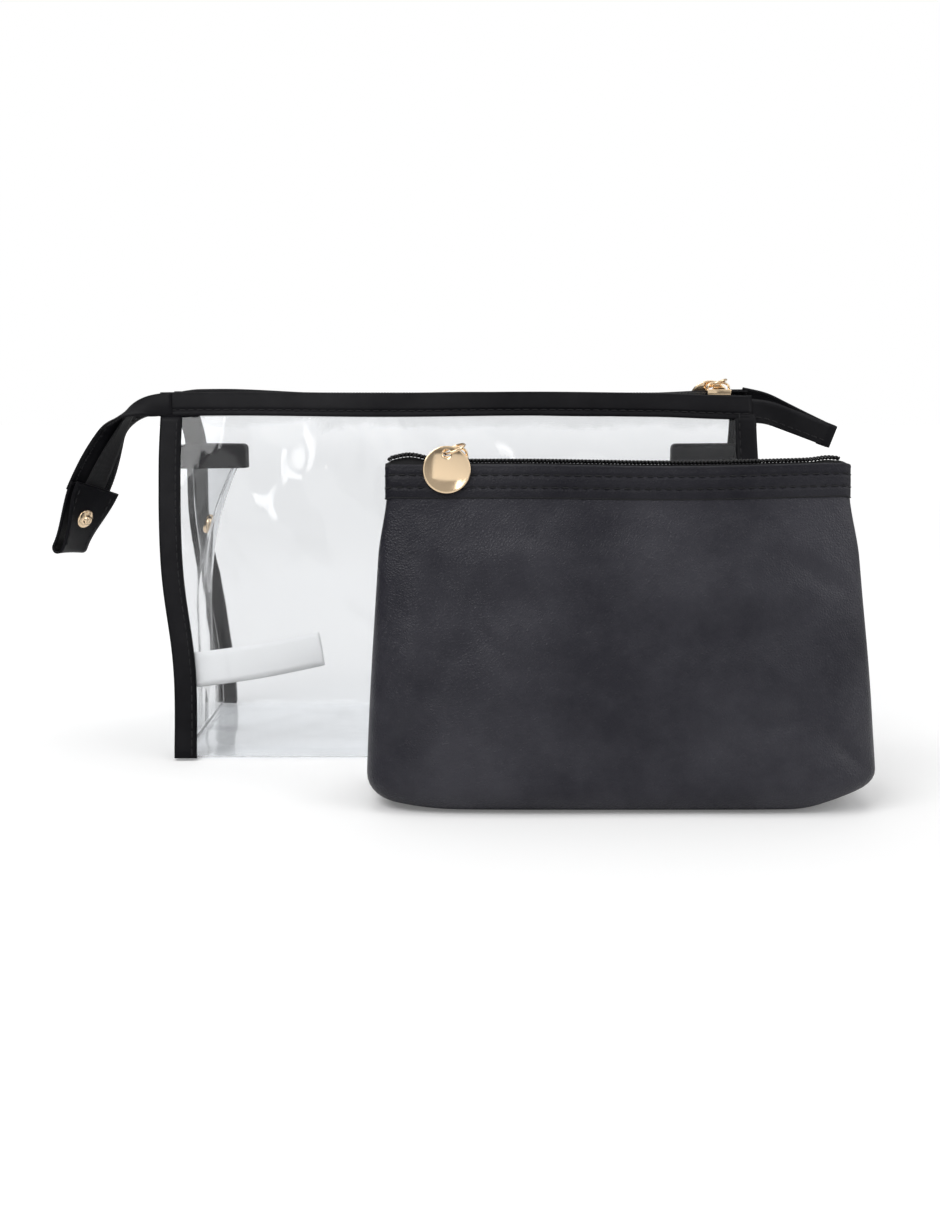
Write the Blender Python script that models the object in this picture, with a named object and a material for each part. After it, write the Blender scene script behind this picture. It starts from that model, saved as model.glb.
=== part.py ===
"""A makeup bag set: a clear zip case with black bindings, and a black zip pouch that stands in front of it.

Metres, +Z up. The origin is the middle of the case's base, +X to the right and -Y to the front.
"""

import math

import bmesh
import bpy
from mathutils import Matrix, Vector

# Clearance between pieces that touch
GAP = 0.0003

# Clear case
CASE_TOP_WIDTH = 0.260
CASE_BASE_WIDTH = 0.240
CASE_DEPTH = 0.104
CASE_ZIP_HEIGHT = 0.1535
PVC = 0.0005
CASE_FOLD_RADIUS = 0.003
GUSSET_DROP = 0.0235
GUSSET_HEIGHT = CASE_ZIP_HEIGHT - GUSSET_DROP
GUSSET_TUCK = 0.024
GUSSET_FLAT_SHARE = 0.4
GUSSET_SEAM_ROOM = 0.0024
GUSSET_SIDE_INSET = 0.002
BINDING_WIDTH = 0.0095
BINDING_LEAF = 0.0009
BINDING_FOOT = 0.004
GUSSET_BINDING_HEIGHT = 0.0095
BAND_HEIGHT = 0.0105
LABEL_LENGTH = 0.056
LABEL_HEIGHT = 0.015
LABEL_FOOT = 0.031
LABEL_LOOP = 0.003
LABEL_TURN = math.radians(16)
LABEL_RISE = math.radians(4)
RIBBON = 0.0003

# Leather strips, zip tape and coil
LEATHER = 0.001
TAPE = 0.0004
TAPE_GAP = 0.0006
TAPE_EDGE = 0.0043
COIL_RISE = 0.0005
COIL_THICKNESS = 0.0014
COIL_BACK = 0.0022
COIL_ROOT = 0.0013
COIL_TIP = 0.0009
TOOTH_PITCH = 0.002
TOOTH_ROOT = 0.00064
TOOTH_HEAD = 0.00076
FLANGE_EDGE = 0.0035
MOUTH_FACE = 0.0056
FLANGE_TOP = 0.0012
FOLD_BEVEL = 0.0003
STOP_LENGTH = 0.003
STOP_SHOULDER = 0.7
STOP_FLAT = 0.6

# Slider, jump ring and disc
SLIDER_LENGTH = 0.011
SLIDER_HALF_WIDTH = 0.0031
SLIDER_RAIL = 0.0006
SLIDER_PLATE = 0.0008
POST_LENGTH = 0.0032
POST_HALF_WIDTH = 0.0003
CROWN_HALF_LENGTH = 0.0052
CROWN_LEG = 0.0008
CROWN_RISE = 0.0034
CROWN_BAR = 0.001
RING_RADIUS = 0.0042
RING_WIRE = 0.0005
RING_LEAN = math.radians(68)
RING_DROOP = math.radians(10)
HANG_ANGLE = math.radians(45)
DISC_RADIUS = 0.009
DISC_THICKNESS = 0.0008
DISC_DISH = 0.0006
DISC_BOWL = 0.6
DISC_BOWL_RISE = 0.3
DISC_HOLE = 0.0016
DISC_HOLE_OFFSET = 0.0062

# Ears of the case
EAR_HINGE_OUT = 0.0012
LEFT_EAR_STRAP = 0.055
LEFT_EAR_REST = math.radians(60)
TAB_LENGTH = 0.031
TAB_WIDTH = 0.0232
TAB_GRIP = 0.006
RIGHT_EAR_STRAP = 0.034
RIGHT_EAR_REST = math.radians(25)
RIGHT_WRAP = 0.009
EAR_ROOT_WIDTH = 0.0012
EAR_WIDE_AT = 0.025
EAR_STRAP_WIDTH = 0.0092
EAR_TAPE_HALF = 0.0016
EAR_PINCH = 0.0039
SNAP_RADIUS = 0.0045
SNAP_FLANGE = 0.0008
SNAP_POST = 0.0015
SNAP_HOLE = 0.0019
SNAP_STUD = 0.0021
SNAP_STUD_LENGTH = 0.0018
SNAP_RIM_SHARE = 0.8
SNAP_CAP_SHARE = 0.7
SNAP_PLACE = 0.013
SOCKET_HEIGHT = 0.090

# Pouch
POUCH_X = 0.061
POUCH_Y = -0.098
POUCH_TOP_WIDTH = 0.176
POUCH_BASE_WIDTH = 0.190
POUCH_DEPTH = 0.064
POUCH_ZIP_HEIGHT = 0.1285
POUCH_EDGE_RADIUS = 0.014
POUCH_SHELL_DROP = 0.006
POUCH_SHELL_TOP = POUCH_ZIP_HEIGHT - POUCH_SHELL_DROP
POUCH_SQUARENESS = 5.0
FACING_HEIGHT = 0.0125
SHELL = 0.001
LINING = 0.0004
SEAM_GAP = 0.0005
POUCH_SLIDER_INSET = 0.026

# Zip slider stands this far in from the right end of the case
CASE_SLIDER_INSET = 0.014

ROUND = 24
RING_SIDES = 8
HALF_TURN_STEPS = 8


def clear_scene():
    for obj in list(bpy.data.objects):
        bpy.data.objects.remove(obj, do_unlink=True)


def make_material(name, color, roughness, metallic=0.0, alpha=1.0):
    material = bpy.data.materials.new(name)
    material.use_nodes = True
    shader = material.node_tree.nodes["Principled BSDF"]
    shader.inputs["Base Color"].default_value = (*color, 1.0)
    shader.inputs["Roughness"].default_value = roughness
    shader.inputs["Metallic"].default_value = metallic
    shader.inputs["Alpha"].default_value = alpha
    return material


def add_solid(name, points, faces, material, parent=None):
    """One closed object from points and faces, with its faces turned outwards."""
    work = bmesh.new()
    verts = [work.verts.new(point) for point in points]
    for face in faces:
        work.faces.new([verts[index] for index in face])
    bmesh.ops.recalc_face_normals(work, faces=work.faces)
    mesh = bpy.data.meshes.new(name)
    work.to_mesh(mesh)
    work.free()
    obj = bpy.data.objects.new(name, mesh)
    obj.data.materials.append(material)
    bpy.context.scene.collection.objects.link(obj)
    obj.parent = parent
    return obj


def add_empty(name, location, rotation_y=0.0, parent=None):
    empty = bpy.data.objects.new(name, None)
    empty.location = location
    empty.rotation_euler = (0.0, rotation_y, 0.0)
    empty.empty_display_size = 0.01
    bpy.context.scene.collection.objects.link(empty)
    empty.parent = parent
    return empty


def prism(name, outline, low, high, material, parent=None, place=lambda a, b, t: (t, a, b)):
    """An outline of (a, b) points extruded from low to high; place turns (a, b, t) into a point."""
    count = len(outline)
    points = [place(a, b, low) for a, b in outline] + [place(a, b, high) for a, b in outline]
    faces = [tuple(range(count)), tuple(range(count, 2 * count))]
    for i in range(count):
        j = (i + 1) % count
        faces.append((i, j, count + j, count + i))
    return add_solid(name, points, faces, material, parent)


def loft(name, rings, material, parent=None):
    """Closed rings of equally many points, joined in order and capped at both ends."""
    count = len(rings[0])
    points = [point for ring in rings for point in ring]
    last = (len(rings) - 1) * count
    faces = [tuple(range(count)), tuple(range(last, last + count))]
    for row in range(len(rings) - 1):
        for i in range(count):
            j = (i + 1) % count
            a = row * count
            faces.append((a + i, a + j, a + count + j, a + count + i))
    return add_solid(name, points, faces, material, parent)


def sheet(name, outer, inner, material, parent=None):
    """A thin sheet between two grids of points with equally many rows and columns."""
    rows = len(outer)
    columns = len(outer[0])
    points = [p for row in outer for p in row] + [p for row in inner for p in row]
    half = rows * columns
    faces = []
    for r in range(rows - 1):
        for c in range(columns - 1):
            a = r * columns + c
            quad = (a, a + 1, a + columns + 1, a + columns)
            faces.append(quad)
            faces.append(tuple(index + half for index in reversed(quad)))
    for c in range(columns - 1):
        for a in (c, (rows - 1) * columns + c):
            faces.append((a, a + 1, a + 1 + half, a + half))
    for r in range(rows - 1):
        for a in (r * columns, r * columns + columns - 1):
            faces.append((a, a + columns, a + columns + half, a + half))
    return add_solid(name, points, faces, material, parent)


def turned(name, profile, material, parent=None):
    """A profile of (radius, height) points turned about Z; both of its ends lie on the axis."""
    points = [(0.0, 0.0, profile[0][1])]
    for radius, height in profile[1:-1]:
        for k in range(ROUND):
            angle = 2 * math.pi * k / ROUND
            points.append((radius * math.cos(angle), radius * math.sin(angle), height))
    points.append((0.0, 0.0, profile[-1][1]))
    rings = len(profile) - 2
    last = len(points) - 1
    faces = []
    for k in range(ROUND):
        n = (k + 1) % ROUND
        faces.append((0, 1 + k, 1 + n))
        faces.append((last, last - ROUND + n, last - ROUND + k))
        for ring in range(rings - 1):
            a = 1 + ring * ROUND
            faces.append((a + k, a + n, a + ROUND + n, a + ROUND + k))
    obj = add_solid(name, points, faces, material, parent)
    obj.data.shade_smooth()
    obj.data.set_sharp_from_angle(angle=math.radians(35))
    return obj


def cut(obj, cutter):
    cutter.hide_render = True
    cutter.display_type = "WIRE"
    modifier = obj.modifiers.new("cut_" + cutter.name, "BOOLEAN")
    modifier.operation = "DIFFERENCE"
    modifier.solver = "EXACT"
    modifier.object = cutter


def smooth(value):
    value = min(max(value, 0.0), 1.0)
    return value * value * (3 - 2 * value)


def mix(a, b, share):
    return a + (b - a) * share


# The walls of a bag: a straight slope from half the base's depth up to the mouth


class Bag:
    """The sizes that the pieces of one bag share. y is measured outwards from the mouth's middle."""

    def __init__(self, prefix, depth, zip_height, strip_height, top_width):
        self.prefix = prefix
        self.zip_height = zip_height
        self.strip_foot = zip_height + FLANGE_TOP - strip_height
        self.mouth_wall = MOUTH_FACE - LEATHER - GAP
        self.slope = (depth / 2 - self.mouth_wall) / (zip_height + FLANGE_TOP)
        self.half_width = top_width / 2

    def wall(self, z):
        """Distance of the wall's outer face from the middle at height z."""
        return self.mouth_wall + (self.zip_height + FLANGE_TOP - z) * self.slope


def strip(bag, name, side, material, parent):
    """The leather strip along one side of the mouth: a leaf on the wall's outside and a fold over its top."""
    inner_foot = bag.wall(bag.strip_foot) + GAP
    z = bag.zip_height
    outline = [
        (inner_foot + LEATHER, bag.strip_foot),
        (MOUTH_FACE, z + FLANGE_TOP - FOLD_BEVEL),
        (MOUTH_FACE - FOLD_BEVEL, z + FLANGE_TOP),
        (FLANGE_EDGE, z + FLANGE_TOP),
        (FLANGE_EDGE, z + TAPE / 2 + GAP),
        (MOUTH_FACE - LEATHER, z + TAPE / 2 + GAP),
        (inner_foot, bag.strip_foot),
    ]
    outline = [(side * y, height) for y, height in outline]
    return prism(name, outline, -bag.half_width, bag.half_width, material, parent)


def zip_half(bag, label, side, first_tooth, last_tooth, tape_material, coil_material, parent):
    """One tape and its comb of teeth. The back comb is half a pitch along, so that the two interlock."""
    z = bag.zip_height
    tape = [(side * y, z + t) for y, t in
            ((TAPE_GAP, -TAPE / 2), (TAPE_EDGE, -TAPE / 2), (TAPE_EDGE, TAPE / 2), (TAPE_GAP, TAPE / 2))]
    prism(f"{bag.prefix}_{label}_zip_tape", tape, -bag.half_width, bag.half_width, tape_material, parent)
    count = int((last_tooth - first_tooth) / TOOTH_PITCH)
    shift = 0.0 if side < 0 else TOOTH_PITCH / 2
    outline = [(first_tooth, side * COIL_BACK)]
    for tooth in range(count):
        middle = first_tooth + (tooth + 0.5) * TOOTH_PITCH + shift
        outline.append((middle - TOOTH_ROOT / 2, side * COIL_ROOT))
        outline.append((middle - TOOTH_HEAD / 2, -side * COIL_TIP))
        outline.append((middle + TOOTH_HEAD / 2, -side * COIL_TIP))
        outline.append((middle + TOOTH_ROOT / 2, side * COIL_ROOT))
    outline.append((last_tooth + TOOTH_PITCH / 2, side * COIL_BACK))
    low = z + COIL_RISE
    prism(f"{bag.prefix}_{label}_zip_coil", outline, low, low + COIL_THICKNESS, coil_material, parent,
          place=lambda a, b, t: (a, b, t))


def zip_stop(bag, x, material, parent):
    """The clamp over the coil's far end."""
    z = bag.zip_height + COIL_RISE
    outline = [(-COIL_BACK, z), (COIL_BACK, z), (COIL_BACK, z + COIL_THICKNESS * STOP_SHOULDER),
               (COIL_BACK * STOP_FLAT, z + COIL_THICKNESS), (-COIL_BACK * STOP_FLAT, z + COIL_THICKNESS),
               (-COIL_BACK, z + COIL_THICKNESS * STOP_SHOULDER)]
    prism(f"{bag.prefix}_zip_stop", outline, x, x + STOP_LENGTH, material, parent)


def box_outline(half_a, low_b, high_b):
    return [(-half_a, low_b), (half_a, low_b), (half_a, high_b), (-half_a, high_b)]


def join(obj, other):
    """Fuses a helper into the object that it overlaps."""
    other.hide_render = True
    other.display_type = "WIRE"
    modifier = obj.modifiers.new("join_" + other.name, "BOOLEAN")
    modifier.operation = "UNION"
    modifier.solver = "EXACT"
    modifier.object = other


def zip_slider(bag, x, lead, hang, slope_angle, metal, parent):
    """Slider, jump ring and disc. lead is the end that parts the teeth, hang the side the disc lies on."""
    prefix = bag.prefix
    slider = add_empty(f"{prefix}_slider_place", (x, 0.0, bag.zip_height), parent=parent)
    half = SLIDER_LENGTH / 2
    rail_low = TAPE / 2 + GAP
    plate_low = COIL_RISE + COIL_THICKNESS + GAP
    plate_top = plate_low + SLIDER_PLATE
    rail_in = SLIDER_HALF_WIDTH - SLIDER_RAIL
    top = [(-SLIDER_HALF_WIDTH, rail_low), (-rail_in, rail_low), (-rail_in, plate_low), (rail_in, plate_low),
           (rail_in, rail_low), (SLIDER_HALF_WIDTH, rail_low),
           (SLIDER_HALF_WIDTH, plate_top - SLIDER_PLATE / 2), (SLIDER_HALF_WIDTH - SLIDER_PLATE / 2, plate_top),
           (SLIDER_PLATE / 2 - SLIDER_HALF_WIDTH, plate_top),
           (-SLIDER_HALF_WIDTH, plate_top - SLIDER_PLATE / 2)]
    body = prism(f"{prefix}_zip_slider", top, -half, half, metal, slider)
    under = box_outline(SLIDER_HALF_WIDTH - SLIDER_RAIL, -rail_low - SLIDER_PLATE, -rail_low)
    join(body, prism(f"{prefix}_slider_underplate", under, -half, half, metal, slider))
    post_out = lead * (half - SLIDER_RAIL)
    post_in = post_out - lead * POST_LENGTH
    post = box_outline(POST_HALF_WIDTH, -rail_low - SLIDER_PLATE / 2, plate_low + SLIDER_PLATE / 2)
    join(body, prism(f"{prefix}_slider_post", post, min(post_in, post_out), max(post_in, post_out), metal, slider))
    bar_low = plate_top + CROWN_RISE - CROWN_BAR / 2
    bar_top = bar_low + CROWN_BAR
    out = CROWN_HALF_LENGTH
    leg = CROWN_HALF_LENGTH - CROWN_LEG
    foot = plate_top - SLIDER_PLATE / 2
    crown = [(-out, foot), (-leg, foot), (-leg, bar_low), (leg, bar_low), (leg, foot), (out, foot),
             (out, bar_low), (leg, bar_top), (-leg, bar_top), (-out, bar_low)]
    arch = prism(f"{prefix}_slider_crown", crown, -CROWN_BAR / 2, CROWN_BAR / 2, metal, slider,
                 place=lambda a, b, t: (a, t, b))
    join(body, arch)

    bar = Vector((0.0, 0.0, plate_top + CROWN_RISE))
    ring_place = add_empty(f"{prefix}_ring_place", bar, parent=slider)
    out_way = Vector((0.0, hang * math.cos(RING_DROOP), -math.sin(RING_DROOP)))
    across = Vector((math.sin(RING_LEAN), 0.0, math.cos(RING_LEAN)))
    across = (across - across.dot(out_way) * out_way).normalized()
    up_way = out_way.cross(across)
    seat = RING_WIRE + CROWN_BAR * math.sqrt(0.5) + GAP
    centre = out_way * (RING_RADIUS - seat)
    rings = []
    for k in range(ROUND):
        angle = 2 * math.pi * k / ROUND
        spoke = out_way * math.cos(angle) + across * math.sin(angle)
        ring = []
        for s in range(RING_SIDES):
            turn = 2 * math.pi * s / RING_SIDES
            ring.append(centre + spoke * (RING_RADIUS + RING_WIRE * math.cos(turn))
                        + up_way * (RING_WIRE * math.sin(turn)))
        rings.append(ring)
    points = [point for ring in rings for point in ring]
    faces = []
    for k in range(ROUND):
        a = k * RING_SIDES
        b = ((k + 1) % ROUND) * RING_SIDES
        for s in range(RING_SIDES):
            n = (s + 1) % RING_SIDES
            faces.append((a + s, a + n, b + n, b + s))
    ring_object = add_solid(f"{prefix}_jump_ring", points, faces, metal, ring_place)
    ring_object.data.shade_smooth()

    hang_point = centre + RING_RADIUS * (out_way * math.cos(HANG_ANGLE) - across * math.sin(HANG_ANGLE))
    disc_place = add_empty(f"{prefix}_disc_place", hang_point, parent=ring_place)
    down = Vector((0.0, hang * math.sin(slope_angle), -math.cos(slope_angle)))
    normal = Vector((0.0, hang * math.cos(slope_angle), math.sin(slope_angle)))
    aside = (-down).cross(normal)
    profile = [(0.0, -DISC_THICKNESS / 2), (DISC_RADIUS * DISC_BOWL, DISC_DISH * DISC_BOWL_RISE - DISC_THICKNESS / 2),
               (DISC_RADIUS, DISC_DISH - DISC_THICKNESS / 4), (DISC_RADIUS, DISC_DISH + DISC_THICKNESS / 4),
               (DISC_RADIUS * DISC_BOWL, DISC_DISH * DISC_BOWL_RISE + DISC_THICKNESS / 2), (0.0, DISC_THICKNESS / 2)]
    frame = Matrix((aside, -down, normal)).transposed().to_4x4()
    frame.translation = down * DISC_HOLE_OFFSET
    disc = turned(f"{prefix}_disc_pull", profile, metal, disc_place)
    disc.matrix_local = frame
    depth = DISC_THICKNESS + DISC_DISH
    hole = turned(f"{prefix}_disc_hole", [(0.0, -2 * depth), (DISC_HOLE, -2 * depth), (DISC_HOLE, 2 * depth),
                                          (0.0, 2 * depth)], metal, disc_place)
    hole.matrix_local = frame @ Matrix.Translation((0.0, DISC_HOLE_OFFSET, 0.0))
    cut(disc, hole)


def half_width(z):
    """Half the clear case's width at height z."""
    return mix(CASE_BASE_WIDTH / 2, CASE_TOP_WIDTH / 2, z / CASE_ZIP_HEIGHT)


def clear_wrap(bag, material):
    """Front, base and back in one folded sheet."""
    top = bag.zip_height - BAND_HEIGHT / 2

    def profile(inset):
        corner = bag.wall(0.0) - inset
        start = (bag.wall(CASE_FOLD_RADIUS) - inset, CASE_FOLD_RADIUS)
        end = (corner - CASE_FOLD_RADIUS, inset)
        half = [(bag.wall(top) - inset, top)]
        for t in (0.0, 1 / 3, 2 / 3, 1.0):
            a = (1 - t) ** 2
            b = 2 * t * (1 - t)
            half.append((a * start[0] + b * corner + t * t * end[0],
                         a * start[1] + b * inset + t * t * end[1]))
        return [(-y, z) for y, z in half] + [(y, z) for y, z in reversed(half)]

    grids = []
    for inset in (0.0, PVC):
        grids.append([[(-half_width(z), y, z), (half_width(z), y, z)] for y, z in profile(inset)])
    sheet("clear_wrap", grids[0], grids[1], material)


def seam_binding(bag, name, end, side, material):
    """A folded strip over one upright edge of the wrap; end is -1 left or 1 right, side -1 front or 1 back."""
    rings = []
    for z in (BINDING_FOOT, bag.strip_foot - GAP):
        edge = half_width(z)
        outer = bag.wall(z) + GAP + BINDING_LEAF
        slot_out = bag.wall(z) + GAP
        slot_in = bag.wall(z) - PVC - GAP
        inner = slot_in - BINDING_LEAF
        lip = edge + GAP + BINDING_LEAF
        reach = lip - BINDING_WIDTH
        section = [(lip, outer), (reach, outer), (reach, slot_out), (edge + GAP, slot_out),
                   (edge + GAP, slot_in), (reach, slot_in), (reach, inner), (lip, inner)]
        rings.append([(end * x, side * y, z) for x, y in section])
    loft(name, rings, material)


def offset_path(path, distance):
    """The plan path moved sideways by a distance, with its corners kept sharp."""
    normals = []
    for (x0, y0), (x1, y1) in zip(path, path[1:]):
        length = math.hypot(x1 - x0, y1 - y0)
        normals.append(((y1 - y0) / length, -(x1 - x0) / length))
    moved = []
    for i, (x, y) in enumerate(path):
        before = normals[max(i - 1, 0)]
        after = normals[min(i, len(normals) - 1)]
        share = 1 + before[0] * after[0] + before[1] * after[1]
        moved.append((x + distance * (before[0] + after[0]) / share,
                      y + distance * (before[1] + after[1]) / share))
    return moved


GUSSET_INSET = PVC + 2 * GAP + BINDING_LEAF + GUSSET_SEAM_ROOM
GUSSET_ROWS = 12
GUSSET_SIDE_STEPS = 6


def gusset_path(bag, end, z):
    """Plan of one gusset at height z: in from the front seam, across the tucked middle, out to the back seam."""
    edge = bag.wall(z) - GUSSET_INSET
    out = half_width(z) - GUSSET_SIDE_INSET
    tuck = GUSSET_TUCK * z / GUSSET_HEIGHT
    flat = edge * GUSSET_FLAT_SHARE
    half = []
    for step in range(GUSSET_SIDE_STEPS + 1):
        share = step / GUSSET_SIDE_STEPS
        half.append((end * (out - tuck * share), mix(edge, flat, share)))
    return [(x, -y) for x, y in half] + [(x, y) for x, y in reversed(half)]


def gusset(bag, name, end, material):
    foot = PVC + GAP
    outer = []
    inner = []
    for row in range(GUSSET_ROWS):
        z = mix(foot, GUSSET_HEIGHT, row / (GUSSET_ROWS - 1))
        path = gusset_path(bag, end, z)
        outer.append([(x, y, z) for x, y in path])
        inner.append([(x, y, z) for x, y in offset_path(path, -end * PVC)])
    return sheet(name, outer, inner, material)


def gusset_binding(bag, name, end, material):
    """The folded strip over a gusset's top edge."""
    low = GUSSET_HEIGHT - GUSSET_BINDING_HEIGHT
    top = GUSSET_HEIGHT + GAP
    near = GAP
    far = GAP + BINDING_LEAF
    section = [(far, low), (far, top + BINDING_LEAF), (-PVC - far, top + BINDING_LEAF), (-PVC - far, low),
               (-PVC - near, low), (-PVC - near, top), (near, top), (near, low)]
    columns = []
    for shift, z in section:
        path = offset_path(gusset_path(bag, end, min(z, GUSSET_HEIGHT)), end * shift)
        columns.append([(x, y, z) for x, y in path])
    rings = list(zip(*columns))
    loft(name, rings, material)


def snap_socket(bag, gusset_object, end, material):
    """The riveted socket at the middle of a gusset, which the ear's stud presses into."""
    z = SOCKET_HEIGHT
    here = gusset_path(bag, end, z)[GUSSET_SIDE_STEPS][0]
    foot = gusset_path(bag, end, 0.0)[GUSSET_SIDE_STEPS][0]
    lean = math.atan2(here - foot, z)
    near = PVC / 2 + GAP
    far = near + SNAP_FLANGE
    recess = SNAP_STUD + 2 * GAP
    profile = [(0.0, -far), (SNAP_RADIUS, -far), (SNAP_RADIUS, -near), (SNAP_POST, -near), (SNAP_POST, near),
               (SNAP_RADIUS, near), (SNAP_RADIUS * SNAP_RIM_SHARE, far + SNAP_FLANGE), (recess, far + SNAP_FLANGE),
               (recess, far), (0.0, far)]
    out_way = Vector((end * math.cos(lean), 0.0, -end * math.sin(lean)))
    turn = Vector((0.0, 0.0, 1.0)).rotation_difference(out_way).to_matrix().to_4x4()
    turn.translation = Vector((here - end * PVC / 2, 0.0, z))
    socket = turned("gusset_snap_socket", profile, material)
    socket.matrix_local = turn
    hole = turned("gusset_snap_hole", [(0.0, -2 * far), (SNAP_HOLE, -2 * far), (SNAP_HOLE, 2 * far),
                                       (0.0, 2 * far)], material)
    hole.matrix_local = turn
    cut(gusset_object, hole)


def half_turn(middle, centre, radius, order):
    """Points of a half circle round (middle, centre), open towards the low side; order 1 goes up, -1 down."""
    points = []
    for k in range(HALF_TURN_STEPS + 1):
        angle = order * math.pi * (k / HALF_TURN_STEPS - 0.5)
        points.append((middle + radius * math.cos(angle), centre + radius * math.sin(angle)))
    return points


def looped(start, middle, centre, outer, inner):
    """Outline of a strip that runs out from start, turns round a half circle and comes back."""
    outline = []
    for radius, order in ((outer, 1), (inner, -1)):
        arc = half_turn(middle, centre, radius, order)
        outline += [(start, arc[0][1])] + arc + [(start, arc[-1][1])]
    return outline


def care_label(bag, material):
    """A bare ribbon loop sewn into the front left seam, hanging inside the case."""
    start_x = -half_width(LABEL_FOOT) + BINDING_WIDTH / 2
    start_y = PVC + 3 * GAP + BINDING_LEAF + LABEL_LOOP / 2 - bag.wall(LABEL_FOOT)
    place = add_empty("care_label_place", (start_x, start_y, LABEL_FOOT))
    place.rotation_euler = (-math.atan(bag.slope), -LABEL_RISE, LABEL_TURN)
    half = LABEL_LOOP / 2
    outline = looped(0.0, LABEL_LENGTH - half, 0.0, half, half - RIBBON)
    prism("care_label", outline, 0.0, LABEL_HEIGHT, material, place, place=lambda a, b, t: (a, b, t))


EAR_STATIONS = 9


def ear_strap(name, end, side, formed, length, flatten, material, parent):
    """One strip of an ear, narrow at the bag; flatten is 1 where it has rolled out flat once it is formed."""
    rings = []
    for station in range(EAR_STATIONS + 1):
        share = min(station / (EAR_STATIONS - 1), 1.0)
        along = formed * share if station < EAR_STATIONS else length
        width = mix(EAR_ROOT_WIDTH, EAR_STRAP_WIDTH, smooth(along / EAR_WIDE_AT))
        roll = smooth(share) * flatten
        angle = math.radians(90) * (1 - roll)
        way = (math.cos(angle), -math.sin(angle))
        out = (math.sin(angle), math.cos(angle))
        y = mix(EAR_PINCH, EAR_TAPE_HALF + GAP, roll)
        z = TAPE / 2 + GAP
        section = [(y, z), (y + width * way[0], z + width * way[1]),
                   (y + width * way[0] + LEATHER * out[0], z + width * way[1] + LEATHER * out[1]),
                   (y + LEATHER * out[0], z + LEATHER * out[1])]
        rings.append([(end * along, side * a, b) for a, b in section])
    loft(name, rings, material, parent)


def ear_tape(name, end, length, material, parent):
    outline = box_outline(EAR_TAPE_HALF, -TAPE / 2, TAPE / 2)
    prism(name, outline, 0.0, end * length, material, parent)


def left_ear(bag, leather, tape, metal):
    """The long ear: two straps and the tape roll out flat into a folded tab with a snap stud under it."""
    end = -1
    hinge = add_empty("left_ear_hinge", (end * (bag.half_width + EAR_HINGE_OUT), 0.0, bag.zip_height),
                      rotation_y=-LEFT_EAR_REST)
    length = LEFT_EAR_STRAP + TAB_GRIP
    formed = LEFT_EAR_STRAP - LEATHER
    ear_strap("left_ear_front_strap", end, -1, formed, length, 1.0, leather, hinge)
    ear_strap("left_ear_back_strap", end, 1, formed, length, 1.0, leather, hinge)
    ear_tape("left_ear_tape", end, length, tape, hinge)
    low_in = -TAPE / 2 - GAP
    high_in = TAPE / 2 + 2 * GAP + LEATHER
    low = low_in - LEATHER
    high = high_in + LEATHER
    near = LEFT_EAR_STRAP
    far = LEFT_EAR_STRAP + TAB_LENGTH
    bend = (high - low) / 2
    outline = looped(near, far - bend, (low + high) / 2, bend, (high_in - low_in) / 2)
    tab = prism("left_ear_tab", outline, -TAB_WIDTH / 2, TAB_WIDTH / 2, leather, hinge,
                place=lambda a, b, t: (end * a, t, b))
    snap_x = end * (near + SNAP_PLACE)
    under = low - GAP
    over = high + GAP
    stud = [(0.0, under - SNAP_FLANGE - SNAP_STUD_LENGTH), (SNAP_STUD, under - SNAP_FLANGE - SNAP_STUD_LENGTH),
            (SNAP_STUD, under - SNAP_FLANGE), (SNAP_RADIUS, under - SNAP_FLANGE), (SNAP_RADIUS, under),
            (SNAP_POST, under), (SNAP_POST, over), (SNAP_RADIUS, over),
            (SNAP_RADIUS * SNAP_CAP_SHARE, over + SNAP_FLANGE), (0.0, over + SNAP_FLANGE)]
    snap = turned("left_ear_snap", stud, metal, hinge)
    snap.location = (snap_x, 0.0, 0.0)
    reach = 2 * (high - low)
    hole = turned("left_ear_snap_hole", [(0.0, -reach), (SNAP_HOLE, -reach), (SNAP_HOLE, reach), (0.0, reach)],
                  metal, hinge)
    hole.location = (snap_x, 0.0, 0.0)
    cut(tab, hole)


def right_ear(bag, leather, tape):
    """The short ear: the straps stay pinched together, and a square wrap closes their end."""
    end = 1
    hinge = add_empty("right_ear_hinge", (end * (bag.half_width + EAR_HINGE_OUT), 0.0, bag.zip_height),
                      rotation_y=RIGHT_EAR_REST)
    formed = RIGHT_EAR_STRAP - RIGHT_WRAP
    ear_strap("right_ear_front_strap", end, -1, formed, RIGHT_EAR_STRAP, 0.0, leather, hinge)
    ear_strap("right_ear_back_strap", end, 1, formed, RIGHT_EAR_STRAP, 0.0, leather, hinge)
    ear_tape("right_ear_tape", end, RIGHT_EAR_STRAP, tape, hinge)
    inner = EAR_PINCH + LEATHER + GAP
    outer = inner + LEATHER
    near = RIGHT_EAR_STRAP - RIGHT_WRAP + LEATHER
    far = RIGHT_EAR_STRAP + GAP + LEATHER
    top = TAPE / 2 + GAP
    outline = [(near, -outer), (far - LEATHER / 2, -outer), (far, LEATHER / 2 - outer), (far, outer - LEATHER / 2),
               (far - LEATHER / 2, outer), (near, outer), (near, inner), (far - LEATHER, inner),
               (far - LEATHER, -inner), (near, -inner)]
    prism("right_ear_end_wrap", outline, top - BAND_HEIGHT, top, leather, hinge,
          place=lambda a, b, t: (a, b, t))


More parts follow.
